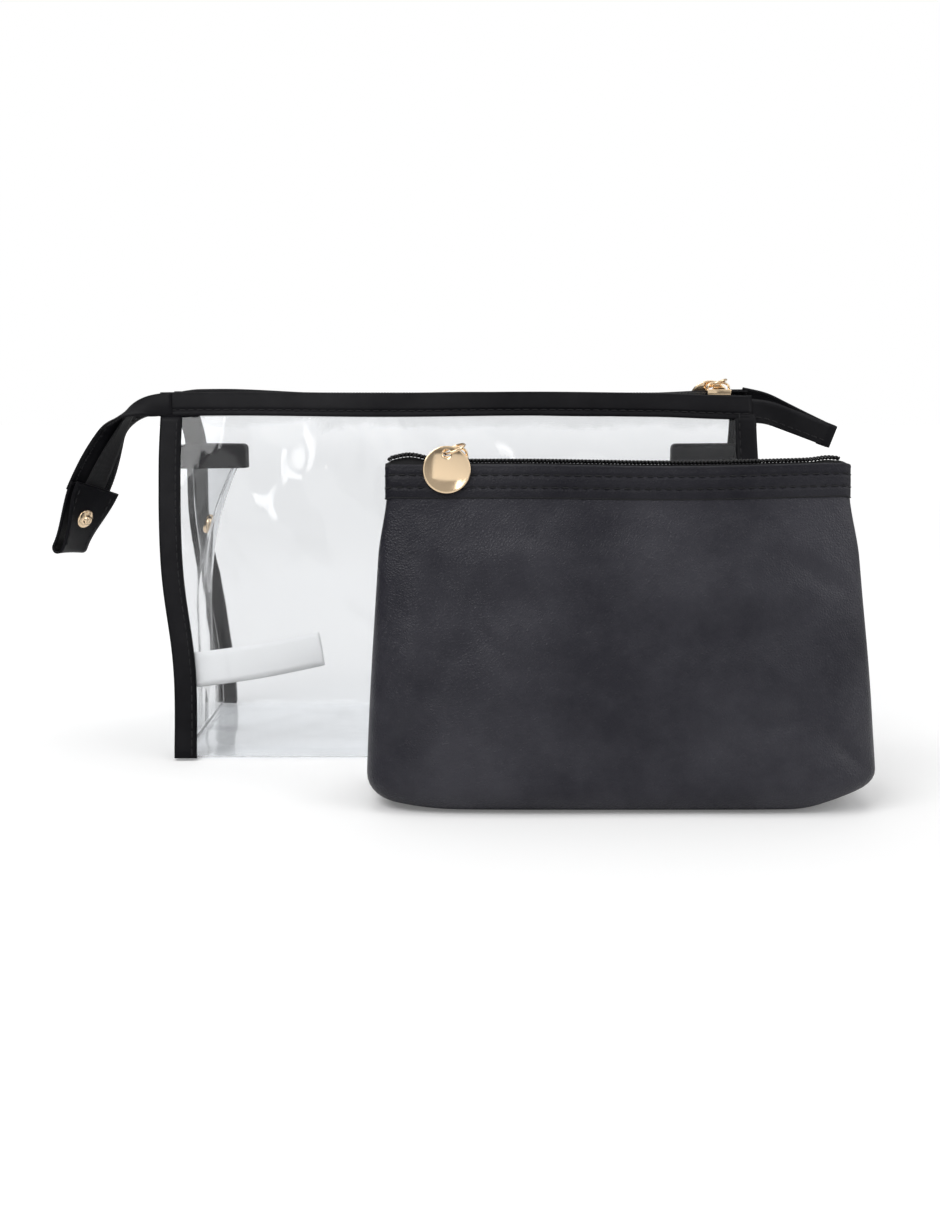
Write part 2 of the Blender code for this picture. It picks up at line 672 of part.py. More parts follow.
def build_case(looks):
    bag = Bag("case", CASE_DEPTH, CASE_ZIP_HEIGHT, BAND_HEIGHT, CASE_TOP_WIDTH)
    clear_wrap(bag, looks["pvc"])
    for end, end_name in ((-1, "left"), (1, "right")):
        panel = gusset(bag, f"{end_name}_gusset", end, looks["pvc"])
        gusset_binding(bag, f"{end_name}_gusset_binding", end, looks["leather"])
        if end < 0:
            snap_socket(bag, panel, end, looks["gold"])
        for side, side_name in ((-1, "front"), (1, "back")):
            seam_binding(bag, f"{side_name}_{end_name}_binding", end, side, looks["leather"])
    care_label(bag, looks["label"])
    slider_x = bag.half_width - CASE_SLIDER_INSET
    stop_x = STOP_LENGTH - bag.half_width
    first = stop_x + STOP_LENGTH + GAP
    last = slider_x + SLIDER_LENGTH / 2 - SLIDER_RAIL - POST_LENGTH - TOOTH_PITCH
    for side, label in ((-1, "front"), (1, "back")):
        strip(bag, f"case_{label}_band", side, looks["leather"], None)
        zip_half(bag, label, side, first, last, looks["tape"], looks["coil"], None)
    zip_stop(bag, stop_x, looks["coil"], None)
    zip_slider(bag, slider_x, 1, 1, math.atan(bag.slope), looks["gold"], None)
    left_ear(bag, looks["leather"], looks["tape"], looks["gold"])
    right_ear(bag, looks["leather"], looks["tape"])


POUCH_COLUMNS = 20
POUCH_WALL_ROWS = 4
EDGE_STEPS = 3


def pouch_levels():
    """(inset, height, closeness) of the pouch's rows: closeness 0 is the bottom seam and 1 the full outline."""
    levels = [(POUCH_EDGE_RADIUS, 0.0, 0.0), (POUCH_EDGE_RADIUS, 0.0, 0.5)]
    for step in range(EDGE_STEPS + 1):
        angle = math.pi / 2 * step / EDGE_STEPS
        levels.append((POUCH_EDGE_RADIUS * (1 - math.sin(angle)), POUCH_EDGE_RADIUS * (1 - math.cos(angle)), 1.0))
    for row in range(1, POUCH_WALL_ROWS + 1):
        levels.append((0.0, mix(POUCH_EDGE_RADIUS, POUCH_SHELL_TOP, row / POUCH_WALL_ROWS), 1.0))
    return levels


def pouch_row(bag, level, depth_in, first_angle, last_angle, count):
    """Points of the pouch's rounded plan at one level, set in from the outside by depth_in."""
    inset, height, closeness = level
    z = depth_in + height * (POUCH_SHELL_TOP - depth_in) / POUCH_SHELL_TOP
    half = mix(POUCH_BASE_WIDTH / 2, POUCH_TOP_WIDTH / 2, height / bag.zip_height) - inset - depth_in
    deep = (bag.wall(height) - inset - depth_in) * closeness
    row = []
    for k in range(count + 1):
        angle = mix(first_angle, last_angle, k / count)
        c = math.cos(angle)
        s = math.sin(angle)
        power = 2 / POUCH_SQUARENESS
        row.append((-math.copysign(half * abs(c) ** power, c), math.copysign(deep * abs(s) ** power, s), z))
    return row


def pouch_shell(bag, name, side, material, parent):
    grids = []
    for depth_in in (0.0, SHELL):
        rows = []
        for level in pouch_levels():
            row = pouch_row(bag, level, depth_in, 0.0, math.pi, POUCH_COLUMNS)
            rows.append([(x, side * max(y, SEAM_GAP / 2), z) for x, y, z in row])
        grids.append(rows)
    sheet(name, grids[0], grids[1], material, parent)


def pouch_lining(bag, material, parent):
    """A thin inner bag, a clearance away from the shells."""
    count = 2 * POUCH_COLUMNS
    levels = pouch_levels()[2:]
    points = []
    for depth_in in (SHELL + GAP, SHELL + GAP + LINING):
        for level in levels:
            points += pouch_row(bag, level, depth_in, 0.0, 2 * math.pi, count)[:-1]
    half = len(levels) * count
    faces = [tuple(range(count)), tuple(range(half, half + count))]
    top = (len(levels) - 1) * count
    for k in range(count):
        n = (k + 1) % count
        for row in range(len(levels) - 1):
            a = row * count
            faces.append((a + k, a + n, a + count + n, a + count + k))
            faces.append((half + a + n, half + a + k, half + a + count + k, half + a + count + n))
        faces.append((top + k, top + n, half + top + n, half + top + k))
    add_solid("pouch_lining", points, faces, material, parent)


def build_pouch(looks):
    bag = Bag("pouch", POUCH_DEPTH, POUCH_ZIP_HEIGHT, FACING_HEIGHT, POUCH_TOP_WIDTH)
    place = add_empty("pouch_place", (POUCH_X, POUCH_Y, 0.0))
    pouch_shell(bag, "pouch_front_shell", -1, looks["pouch"], place)
    pouch_shell(bag, "pouch_back_shell", 1, looks["pouch"], place)
    pouch_lining(bag, looks["lining"], place)
    slider_x = POUCH_SLIDER_INSET - bag.half_width
    stop_x = bag.half_width - 2 * STOP_LENGTH
    first = slider_x - SLIDER_LENGTH / 2 + SLIDER_RAIL + POST_LENGTH + TOOTH_PITCH / 2
    last = stop_x - TOOTH_PITCH
    for side, label in ((-1, "front"), (1, "back")):
        strip(bag, f"pouch_{label}_facing", side, looks["pouch"], place)
        zip_half(bag, label, side, first, last, looks["tape"], looks["coil"], place)
    zip_stop(bag, stop_x, looks["coil"], place)
    zip_slider(bag, slider_x, -1, -1, math.atan(bag.slope), looks["gold"], place)


def main():
    clear_scene()
    looks = {
        "pvc": make_material("clear_pvc", (0.90, 0.92, 0.93), 0.06, alpha=0.15),
        "leather": make_material("black_leather", (0.012, 0.012, 0.014), 0.45),
        "pouch": make_material("pouch_leather", (0.028, 0.027, 0.034), 0.5),
        "lining": make_material("lining_cloth", (0.02, 0.02, 0.022), 0.8),
        "tape": make_material("zip_tape", (0.010, 0.010, 0.011), 0.85),
        "coil": make_material("zip_coil", (0.010, 0.010, 0.011), 0.35),
        "gold": make_material("gold_metal", (0.72, 0.50, 0.28), 0.18, metallic=1.0),
        "label": make_material("label_ribbon", (0.72, 0.72, 0.72), 0.7),
    }
    build_case(looks)
    build_pouch(looks)


main()
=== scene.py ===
"""Looks for the makeup bag set: a clear zip case and a black zip pouch on a pale studio floor."""

import math

import bmesh
import bpy
import numpy as np
from mathutils import Matrix, Vector


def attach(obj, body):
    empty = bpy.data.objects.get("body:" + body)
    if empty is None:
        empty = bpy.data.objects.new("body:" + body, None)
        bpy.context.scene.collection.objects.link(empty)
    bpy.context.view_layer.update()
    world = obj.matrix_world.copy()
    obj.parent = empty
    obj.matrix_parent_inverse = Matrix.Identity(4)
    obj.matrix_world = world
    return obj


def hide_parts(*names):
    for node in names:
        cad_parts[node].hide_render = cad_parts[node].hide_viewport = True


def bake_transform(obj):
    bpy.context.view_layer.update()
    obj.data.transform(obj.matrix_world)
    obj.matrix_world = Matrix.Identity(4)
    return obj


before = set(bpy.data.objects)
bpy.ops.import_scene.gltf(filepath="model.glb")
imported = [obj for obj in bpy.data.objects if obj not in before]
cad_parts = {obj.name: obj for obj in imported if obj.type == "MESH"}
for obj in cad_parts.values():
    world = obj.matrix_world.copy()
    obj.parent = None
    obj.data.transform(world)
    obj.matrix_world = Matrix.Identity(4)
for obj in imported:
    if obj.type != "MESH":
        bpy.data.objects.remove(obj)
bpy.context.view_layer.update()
rng = np.random.default_rng(7)

# Clear case, in metres
MOUTH_TOP = 0.1547
CASE_ZIP = 0.1535
CASE_ZIP_SAG = -0.0005
EAR_TOP = 0.1535
WALL_TOP = 0.0043
WALL_SLOPE = 0.3083
BASE_HALF = 0.1205
TOP_HALF = 0.1310
PVC = 0.0005
BAND = 0.0105
BAND_SEAM = 0.0026
FRONT_BAND_LEFT = -0.1325
BACK_BAND_LEFT = -0.1305
BAND_RIGHT = 0.1300
LEAF = 0.0009
BINDING = 0.0095
BINDING_HALF = 0.00125
BINDING_OUT = BINDING_HALF - PVC / 2
GUSSET_TOP = 0.130
GUSSET_TUCK = 0.031
TUCK_POWER = 2.2
GUSSET_BINDING = 0.0085
SOCKET_Z = 0.0955
CASE_SLIDER_X = 0.116
CASE_STOP_X = -0.1255
CASE_COIL = (-0.1240, 0.1120)
LEFT_ROOT = -0.1312
RIGHT_ROOT = 0.1312

# Pouch
POUCH_X = 0.061
POUCH_Y = -0.098
POUCH_ZIP = 0.1285
POUCH_TOP_HALF = 0.088
POUCH_MOUTH_HALF = POUCH_TOP_HALF + 0.0002
POUCH_BASE_LEFT = 0.0948
POUCH_BASE_RIGHT = 0.0982
POUCH_LEATHER = 0.001
POUCH_WALL_TOP = 0.0043
POUCH_TOP = POUCH_ZIP + 0.0012
POUCH_SLOPE = (0.032 - POUCH_WALL_TOP) / POUCH_TOP
POUCH_EDGE = 0.011
FACING = 0.0125
FACING_SEAMS = (0.0040, 0.0086)
POUCH_SLIDER_X = POUCH_X - POUCH_TOP_HALF + 0.026
POUCH_STOP_X = POUCH_X + POUCH_TOP_HALF - 0.0045
POUCH_COIL = (POUCH_X - POUCH_TOP_HALF + 0.001, POUCH_X + POUCH_TOP_HALF - 0.004)

# Mouth and zip parts shared by both bags
MOUTH_Y = 0.0056
FLANGE_Y = 0.0034
STRIP = 0.001
TAPE = 0.0004
TAPE_INNER = 0.0005
TAPE_OUTER = 0.0046
COIL_PITCH = 0.0014
COIL_WIRE = 0.00038
# A helix's middle beside and above the zip's line, and how far it swings each way
COIL_OUT = 0.00070
COIL_UP = 0.00115
COIL_SWING = 0.00120
COIL_RISE = 0.00050
# How much prouder the pouch's zip stands than the case's
COIL_LIFT = 0.0011
RING_RADIUS = 0.0042
RING_WIRE = 0.0005
DISC_RADIUS = 0.009
DISC_HOLE_OUT = 0.0062
DISC_HALF = 0.00035
DISC_DISH = 0.0010
# Where the disc's rim starts to round off and over how much, in shares of its radius
RIM_START = 0.94
RIM_WIDTH = 0.0601
# Degrees: how far a ring leans over, how far it droops and where on it the disc hangs
RING_TURNS = (68, 10, 45)


def smooth(value):
    value = np.clip(value, 0.0, 1.0)
    return value * value * (3 - 2 * value)


def unit(vector):
    vector = np.asarray(vector, float)
    return vector / np.linalg.norm(vector, axis=-1, keepdims=True)


def node(tree, kind, links=(), **values):
    """Adds a shader node; values fill its sockets and links are (socket, source socket) pairs."""
    made = tree.nodes.new(kind)
    for name, value in values.items():
        key = name.replace("_", " ")
        if hasattr(made, name):
            setattr(made, name, value)
        else:
            made.inputs[key].default_value = value
    for name, source in links:
        tree.links.new(made.inputs[name], source)
    return made


def new_material(name, color, roughness, **values):
    material = bpy.data.materials.new(name)
    material.use_nodes = True
    shader = material.node_tree.nodes["Principled BSDF"]
    shader.inputs["Base Color"].default_value = (*color, 1.0)
    shader.inputs["Roughness"].default_value = roughness
    for key, value in values.items():
        shader.inputs[key.replace("_", " ")].default_value = value
    return material, material.node_tree, shader


def noise(tree, place, scale, detail, **values):
    made = node(tree, "ShaderNodeTexNoise", [("Vector", place)], Scale=scale, Detail=detail, **values)
    return made.outputs["Fac"]


def calculate(tree, operation, *sources):
    return node(tree, "ShaderNodeMath", enumerate(sources), operation=operation).outputs["Value"]


def shade_range(tree, source, low, high, start=0.0, end=1.0):
    """Goes from low to high as the source goes from start to end."""
    spread = node(tree, "ShaderNodeMapRange", [("Value", source)], From_Min=start, From_Max=end, To_Min=low,
                  To_Max=high)
    return spread.outputs["Result"]


def two_tones(tree, source, dark, light, start=0.0, end=1.0):
    """Goes from the dark colour to the light one as the source goes from start to end."""
    ramp = node(tree, "ShaderNodeValToRGB", [("Fac", source)])
    for stop, position, color in zip(ramp.color_ramp.elements, (start, end), (dark, light)):
        stop.position = position
        stop.color = (*color, 1.0)
    return ramp.outputs["Color"]


def bump(tree, height, strength, distance, below=()):
    """Normals of a relief; strength is a number or a socket, below the normals of a coarser relief."""
    links = [("Height", height), *(("Normal", normal) for normal in below)]
    made = node(tree, "ShaderNodeBump", links, Distance=distance)
    if isinstance(strength, float):
        made.inputs["Strength"].default_value = strength
    else:
        tree.links.new(made.inputs["Strength"], strength)
    return made.outputs["Normal"]


def plug(tree, shader, **sources):
    for name, source in sources.items():
        tree.links.new(shader.inputs[name.replace("_", " ")], source)


def object_place(tree):
    return node(tree, "ShaderNodeTexCoord").outputs["Object"]


def grained_leather(name, color, light, roughness, gloss, cell, depth, folds):
    """Faux leather: pebbled cells, fine pores and a slow waviness of the backing cloth."""
    material, tree, shader = new_material(name, color, roughness, Specular_IOR_Level=gloss)
    place = object_place(tree)
    cells = node(tree, "ShaderNodeTexVoronoi", [("Vector", place)], feature="DISTANCE_TO_EDGE",
                 Scale=1 / cell).outputs["Distance"]
    pores = noise(tree, place, 2.5 / cell, 4.0)
    slow = noise(tree, place, 55.0, 3.0)
    patch = noise(tree, place, 26.0, 5.0, Roughness=0.6)
    pebbles = bump(tree, cells, 0.7, depth, [bump(tree, slow, folds, 0.002)])
    plug(tree, shader,
         Base_Color=two_tones(tree, patch, color, light, 0.36, 0.68),
         Roughness=shade_range(tree, pores, roughness - 0.08, roughness + 0.08),
         Specular_IOR_Level=shade_range(tree, patch, 0.75 * gloss, 1.3 * gloss, 0.34, 0.68),
         Normal=bump(tree, pores, 0.25, depth, [pebbles]))
    return material


def woven(name, color, light, pitch, roughness):
    """Woven tape, thread and ribbon: two crossed sets of ribs."""
    material, tree, shader = new_material(name, color, roughness, Specular_IOR_Level=0.3, Sheen_Weight=0.04)
    place = object_place(tree)
    ribs = []
    for direction, distortion in (("X", 0.6), ("DIAGONAL", 0.8)):
        wave = node(tree, "ShaderNodeTexWave", [("Vector", place)], bands_direction=direction,
                    Scale=0.314 / pitch, Distortion=distortion)
        ribs.append(wave.outputs["Fac"])
    crossed = calculate(tree, "MULTIPLY", *ribs)
    plug(tree, shader, Base_Color=two_tones(tree, crossed, color, light),
         Normal=bump(tree, crossed, 0.4, pitch / 3))
    return material


def clear_film(name):
    """Clear PVC: glassy, faintly grey, rippled and buckled as a rolled sheet.

    The lamps shine straight through it.
    """
    material, tree, shader = new_material(name, (0.875, 0.882, 0.890), 0.03, IOR=1.37,
                                          Transmission_Weight=1.0)
    place = object_place(tree)
    turned = node(tree, "ShaderNodeMapping", [("Vector", place)], Rotation=(0.0, 0.5, 0.0),
                  Scale=(1.0, 1.0, 0.38)).outputs["Vector"]
    ripples = noise(tree, turned, 17.0, 1.5, Distortion=1.0)
    buckles = noise(tree, turned, 85.0, 1.0, Distortion=0.6)
    streaks = noise(tree, place, 150.0, 2.0)
    normal = node(tree, "ShaderNodeNewGeometry").outputs["Normal"]
    upward = node(tree, "ShaderNodeSeparateXYZ", [("Vector", normal)]).outputs["Z"]
    level = calculate(tree, "ABSOLUTE", upward)
    # The base lies flat on the floor, so it ripples less than the walls
    strength = shade_range(tree, level, 0.28, 0.05, 0.4, 0.9)
    wide = bump(tree, ripples, strength, 0.015)
    plug(tree, shader, Roughness=shade_range(tree, streaks, 0.02, 0.08),
         Normal=bump(tree, buckles, strength, 0.0006, [wide]))
    through = node(tree, "ShaderNodeBsdfTransparent", Color=(0.93, 0.94, 0.95, 1.0))
    path = node(tree, "ShaderNodeLightPath")
    mixed = node(tree, "ShaderNodeMixShader", [("Fac", path.outputs["Is Shadow Ray"]),
                                               (1, shader.outputs["BSDF"]), (2, through.outputs["BSDF"])])
    plug(tree, tree.nodes["Material Output"], Surface=mixed.outputs["Shader"])
    return material


def hazed(name, color, roughness, scale, detail, spread, **values):
    """Plated metal or nylon wire with a faint unevenness of its gloss."""
    material, tree, shader = new_material(name, color, roughness, **values)
    haze = noise(tree, object_place(tree), scale, detail)
    plug(tree, shader, Roughness=shade_range(tree, haze, *spread))
    return material


leather = grained_leather("black_leather", (0.0042, 0.0041, 0.0054), (0.0070, 0.0068, 0.0086),
                          roughness=0.46, gloss=0.12, cell=0.0006, depth=0.00012, folds=0.10)
pouch_leather = grained_leather("pouch_leather", (0.0095, 0.0091, 0.0158), (0.0165, 0.0158, 0.0250),
                                roughness=0.42, gloss=0.42, cell=0.0011, depth=0.00040, folds=0.55)
facing_leather = grained_leather("facing_leather", (0.0060, 0.0057, 0.0100), (0.0100, 0.0096, 0.0150),
                                 roughness=0.44, gloss=0.26, cell=0.0011, depth=0.00030, folds=0.20)
lining_cloth = woven("lining_cloth", (0.012, 0.012, 0.014), (0.026, 0.026, 0.028), pitch=0.0004,
                     roughness=0.8)
zip_tape = woven("zip_tape", (0.006, 0.006, 0.007), (0.018, 0.018, 0.019), pitch=0.0005, roughness=0.8)
thread = woven("sewing_thread", (0.004, 0.004, 0.005), (0.016, 0.016, 0.019), pitch=0.0002, roughness=0.6)
ribbon = woven("label_ribbon", (0.78, 0.78, 0.78), (0.90, 0.90, 0.90), pitch=0.0003, roughness=0.6)
coil_nylon = hazed("zip_coil", (0.0045, 0.0045, 0.0052), 0.34, scale=900.0, detail=3.0, spread=(0.24, 0.46),
                   Specular_IOR_Level=0.3)
gold = hazed("gold_metal", (0.90, 0.69, 0.46), 0.11, scale=320.0, detail=5.0, spread=(0.06, 0.18),
             Metallic=1.0)
film = clear_film("clear_pvc")


def add_piece(name, points, faces, material):
    mesh = bpy.data.meshes.new(name)
    mesh.from_pydata([tuple(p) for p in points], [], [tuple(f) for f in faces])
    mesh.validate()
    # Points that fall together, such as those on a lathe's axis, become one, and all faces look outward
    work = bmesh.new()
    work.from_mesh(mesh)
    bmesh.ops.remove_doubles(work, verts=work.verts, dist=1e-7)
    bmesh.ops.recalc_face_normals(work, faces=work.faces)
    if work.calc_volume(signed=True) < 0:
        bmesh.ops.reverse_faces(work, faces=work.faces)
    work.to_mesh(mesh)
    work.free()
    mesh.materials.append(material)
    mesh.shade_smooth()
    obj = bpy.data.objects.new(name, mesh)
    bpy.context.scene.collection.objects.link(obj)
    return obj


def grid_faces(rows, columns, start=0, flip=False, wrap=False, closed=False):
    """Faces of a grid; wrap joins the last column to the first, and closed the last row to the first."""
    faces = []
    for r in range(rows if closed else rows - 1):
        a = start + r * columns
        b = start + (r + 1) % rows * columns
        for c in range(columns if wrap else columns - 1):
            n = (c + 1) % columns
            quad = (a + c, a + n, b + n, b + c)
            faces.append(quad[::-1] if flip else quad)
    return faces


def point_grid(place, rows, columns):
    return np.array([[place(row, column) for column in columns] for row in rows])


def grid_normals(grid):
    """Unit normals of a grid of points, along rows cross columns."""
    along = np.gradient(grid, axis=0)
    across = np.gradient(grid, axis=1)
    return unit(np.cross(along, across) + 1e-15)


def skin(name, grid, thickness, material, ends=None):
    """A sheet of that thickness: grid is its outer face, and the inner one lies against its normals.

    Where ends gives a least and a greatest x, the inner face stays between them.
    """
    rows, columns = grid.shape[:2]
    inner = grid - grid_normals(grid) * thickness
    if ends:
        inner[..., 0] = np.clip(inner[..., 0], *ends)
    half = rows * columns
    points = np.concatenate([grid.reshape(-1, 3), inner.reshape(-1, 3)])
    faces = grid_faces(rows, columns, flip=True) + grid_faces(rows, columns, half)
    for c in range(columns - 1):
        faces.append((c, c + 1, half + c + 1, half + c))
        a = (rows - 1) * columns + c
        faces.append((a + 1, a, half + a, half + a + 1))
    for r in range(rows - 1):
        a = r * columns
        faces.append((a + columns, a, half + a, half + a + columns))
        b = a + columns - 1
        faces.append((b, b + columns, half + b + columns, half + b))
    return add_piece(name, points, faces, material)


def tube_parts(path, radius, sides, start, closed=False):
    """Points and faces of a round wire along a path; radius is one number or one for each point."""
    path = np.asarray(path, float)
    count = len(path)
    radius = np.broadcast_to(radius, count)
    if closed:
        tangents = unit(np.roll(path, -1, axis=0) - np.roll(path, 1, axis=0))
    else:
        tangents = unit(np.gradient(path, axis=0))
    guide = np.array([0.0, 0.0, 1.0]) if abs(tangents[0][2]) < 0.8 else np.array([0.0, 1.0, 0.0])
    points = []
    for i in range(count):
        guide = unit(guide - guide.dot(tangents[i]) * tangents[i])
        other = np.cross(tangents[i], guide)
        for k in range(sides):
            angle = 2 * math.pi * k / sides
            points.append(path[i] + radius[i] * (math.cos(angle) * guide + math.sin(angle) * other))
    faces = grid_faces(count, sides, start, flip=True, wrap=True, closed=closed)
    if not closed:
        faces.append(tuple(start + k for k in range(sides)))
        faces.append(tuple(start + count * sides - 1 - k for k in range(sides)))
    return points, faces


def tubes(name, paths, radius, sides, material, closed=False):
    """Several round wires as one piece."""
    points = []
    faces = []
    for path in paths:
        more_points, more_faces = tube_parts(path, radius, sides, len(points), closed)
        points += more_points
        faces += more_faces
    return add_piece(name, points, faces, material)


STITCH = 0.0030
STITCH_GAP = 0.0009
THREAD = 0.00027


def leather_strip(name, grid, thickness=STRIP):
    return skin(name, grid, thickness, leather)


def sew(name, paths):
    return tubes(name, paths, THREAD, 6, thread)


def interpolate(s, places, values):
    """Points or directions at s, between the ones given for the places."""
    return np.stack([np.interp(s, places, values[:, k]) for k in range(3)], axis=-1)


def fold_angles(count):
    """Angles between nothing and half a turn, with both of these left out."""
    return [math.pi * step / count for step in range(1, count)]


def seam_paths(line, normals):
    """Stitches along a line on a surface: each dips into the surface at both of its ends."""
    line = np.asarray(line, float)
    normals = unit(normals)
    steps = np.linalg.norm(np.diff(line, axis=0), axis=1)
    place = np.concatenate([[0.0], np.cumsum(steps)])
    paths = []
    at = STITCH_GAP
    while at + STITCH < place[-1]:
        jitter = rng.uniform(-0.06, 0.06) * STITCH
        s = np.linspace(at, at + STITCH + jitter, 6)
        out = unit(interpolate(s, place, normals))
        rise = THREAD * (1.9 * np.sin(np.linspace(0, math.pi, 6)) ** 0.6 - 1.1)
        paths.append(interpolate(s, place, line) + out * rise[:, None])
        at += STITCH + STITCH_GAP
    return paths


def coil_path(first, last, side, middle_y, height, droop):
    """One helix of the zip: it loops from the tape's edge to the middle, where it meets the other."""
    turns = (last - first) / COIL_PITCH
    t = np.linspace(0.0, turns, int(turns * 10))
    phase = 2 * math.pi * t + (0.0 if side < 0 else math.pi)
    x = first + t * COIL_PITCH
    y = middle_y + side * (COIL_OUT + COIL_SWING * np.cos(phase))
    z = height + COIL_UP + COIL_RISE * np.sin(phase) + droop(x)
    return np.stack([x, y, z], axis=1)


def lathe(name, profile, frame_matrix):
    """A metal piece: a profile of (radius, height) turned about the frame's Z."""
    segments = 40
    angle = np.linspace(0, 2 * math.pi, segments, endpoint=False)
    round_edge = np.stack([np.cos(angle), np.sin(angle)], axis=1)
    rings = [np.column_stack([radius * round_edge, np.full(segments, height)])
             for radius, height in profile]
    faces = grid_faces(len(profile), segments, wrap=True)
    obj = add_piece(name, np.concatenate(rings), faces, gold)
    obj.data.transform(frame_matrix)
    if frame_matrix.determinant() < 0:
        obj.data.flip_normals()
    return obj


def rounded_bar(name, size, bevel, frame_matrix, material):
    bpy.ops.mesh.primitive_cube_add(size=1.0)
    obj = bpy.context.object
    obj.name = name
    obj.data.name = name
    obj.data.transform(Matrix.Diagonal((*size, 1.0)))
    obj.data.transform(frame_matrix)
    modifier = obj.modifiers.new("rounded", "BEVEL")
    modifier.width = bevel
    modifier.segments = 3
    bpy.ops.object.modifier_apply(modifier=modifier.name)
    obj.data.materials.append(material)
    obj.data.shade_smooth()
    return obj


def merge(name, objects):
    """Joins pieces of one material into one piece."""
    bpy.ops.object.select_all(action="DESELECT")
    for obj in objects:
        obj.select_set(True)
    bpy.context.view_layer.objects.active = objects[0]
    bpy.ops.object.join()
    objects[0].name = name
    return objects[0]


def piece_points(obj):
    values = np.zeros(len(obj.data.vertices) * 3)
    obj.data.vertices.foreach_get("co", values)
    return values.reshape(-1, 3)


# Weights for bowing the lips of a mouth out in the middle with their ends held; the bend functions compute
# them but move no point
BOW_START = 0.02
BOW_END = 0.005


def mouth_bow(points, middle_x, half, top):
    """How far points follow a lip: from BOW_START up, and fully from BOW_END under its top."""
    across = np.cos(math.pi / 2 * np.clip((points[:, 0] - middle_x) / half, -1, 1)) ** 2
    return across * smooth((points[:, 2] - BOW_START) / (top - BOW_END - BOW_START))


def bend_case_lip(obj, front_only=False):
    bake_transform(obj)
    points = piece_points(obj)
    weights = mouth_bow(points, 0.0, TOP_HALF, MOUTH_TOP)
    if front_only:
        weights = np.where(points[:, 1] < 0, weights, 0.0)


def bend_pouch_lip(obj, back_only=False):
    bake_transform(obj)
    points = piece_points(obj)
    weights = mouth_bow(points, POUCH_X, POUCH_TOP_HALF, POUCH_ZIP)
    if back_only:
        weights = np.where(points[:, 1] > POUCH_Y, weights, 0.0)


# Clear case


def case_half(z):
    """Half the case's width: upright sides that draw in towards the base."""
    return BASE_HALF + (TOP_HALF - BASE_HALF) * smooth((z - 0.01) / 0.10)


def case_wall(z):
    return WALL_TOP + (MOUTH_TOP - z) * WALL_SLOPE


def film_wave(x, z):
    """Slow buckles of the front and back film; they fade out at the seams, the base and the mouth."""
    fade = smooth((TOP_HALF - np.abs(x)) / 0.03) * smooth(z / 0.03) * smooth((MOUTH_TOP - z) / 0.03)
    wave = 0.0011 * np.sin(2 * math.pi * (x / 0.19 + 0.35 * z / 0.15) + 0.9)
    wave += 0.0007 * np.sin(2 * math.pi * (x / 0.083 - z / 0.16) + 0.3)
    wave += 0.0004 * np.sin(2 * math.pi * (x / 0.041 + z / 0.07) + 2.1)
    return wave * fade


def band_rise(x, side):
    """Rise of a band over its straight line: at both ends the back one stands up behind the front one."""
    right = smooth((x - 0.085) / 0.045)
    if side < 0:
        return 0.0004 - 0.0014 * right + 0.0003 * np.sin(x / 0.021)
    left = smooth((-x - 0.06) / 0.05) - 0.9 * smooth((-x - 0.117) / 0.013)
    return 0.0014 * left + 0.0012 * right + 0.0002 + 0.0003 * np.sin(x / 0.017 + 1)


def zip_rise(x):
    """The zip runs straight, a little under the top of the bands."""
    return CASE_ZIP_SAG


def back_shift(x, y, z):
    """The back's top left corner is drawn in, because the long ear pulls on it."""
    left = np.clip(-x / TOP_HALF, 0, 1)
    return 0.008 * left * smooth(y / 0.012) * np.clip(z / MOUTH_TOP, 0, 1)


def wrap_profile():
    """(y, z) from the front's top edge down, across the base and up to the back's top edge."""
    fold = 0.003
    half = [(case_wall(z), z) for z in np.linspace(MOUTH_TOP - BAND / 2, fold, 44)]
    middle = case_wall(fold) - fold
    for step in range(1, 7):
        angle = math.pi / 2 * step / 6
        half.append((middle + fold * math.cos(angle), fold - fold * math.sin(angle)))
    base = [(y, 0.0) for y in np.linspace(-middle, middle, 26)[1:-1]]
    return [(-y, z) for y, z in half] + base + [(y, z) for y, z in reversed(half)]


def make_wrap():
    columns = np.linspace(-1, 1, 110)
    grid = []
    for y, z in wrap_profile():
        x = columns * case_half(z)
        side = -1.0 if y < 0 else 1.0
        row_y = y + film_wave(x, z) * (1.0 if side < 0 else 0.8)
        row_z = np.full_like(x, z)
        if z <= 0.0:
            row_z = 0.0003 * (1 + np.sin(x / 0.012 + y / 0.017)) * smooth((0.045 - abs(y)) / 0.02)
        grid.append(np.stack([x + back_shift(x, row_y, row_z), row_y, row_z], axis=1))
    wrap = skin("clear_wrap_film", np.array(grid), PVC, film)
    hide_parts("clear_wrap")
    bend_case_lip(wrap, front_only=True)


def u_section(reach):
    """(inwards, outwards) points of a strip folded round a film's edge, outer leaf first."""
    points = [(a, BINDING_OUT) for a in np.linspace(reach, 0.0, 6)]
    for angle in fold_angles(7):
        points.append((-BINDING_HALF * math.sin(angle), -PVC / 2 + BINDING_HALF * math.cos(angle)))
    points += [(a, -PVC / 2 - BINDING_HALF) for a in np.linspace(0.0, reach, 6)]
    return points


def make_binding(name, stitches_name, grid, seam, normals):
    strip = leather_strip(name + "_strip", grid, LEAF)
    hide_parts(name)
    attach(strip, "case")
    stitches = sew(stitches_name, seam_paths(seam, normals))
    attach(stitches, "case")


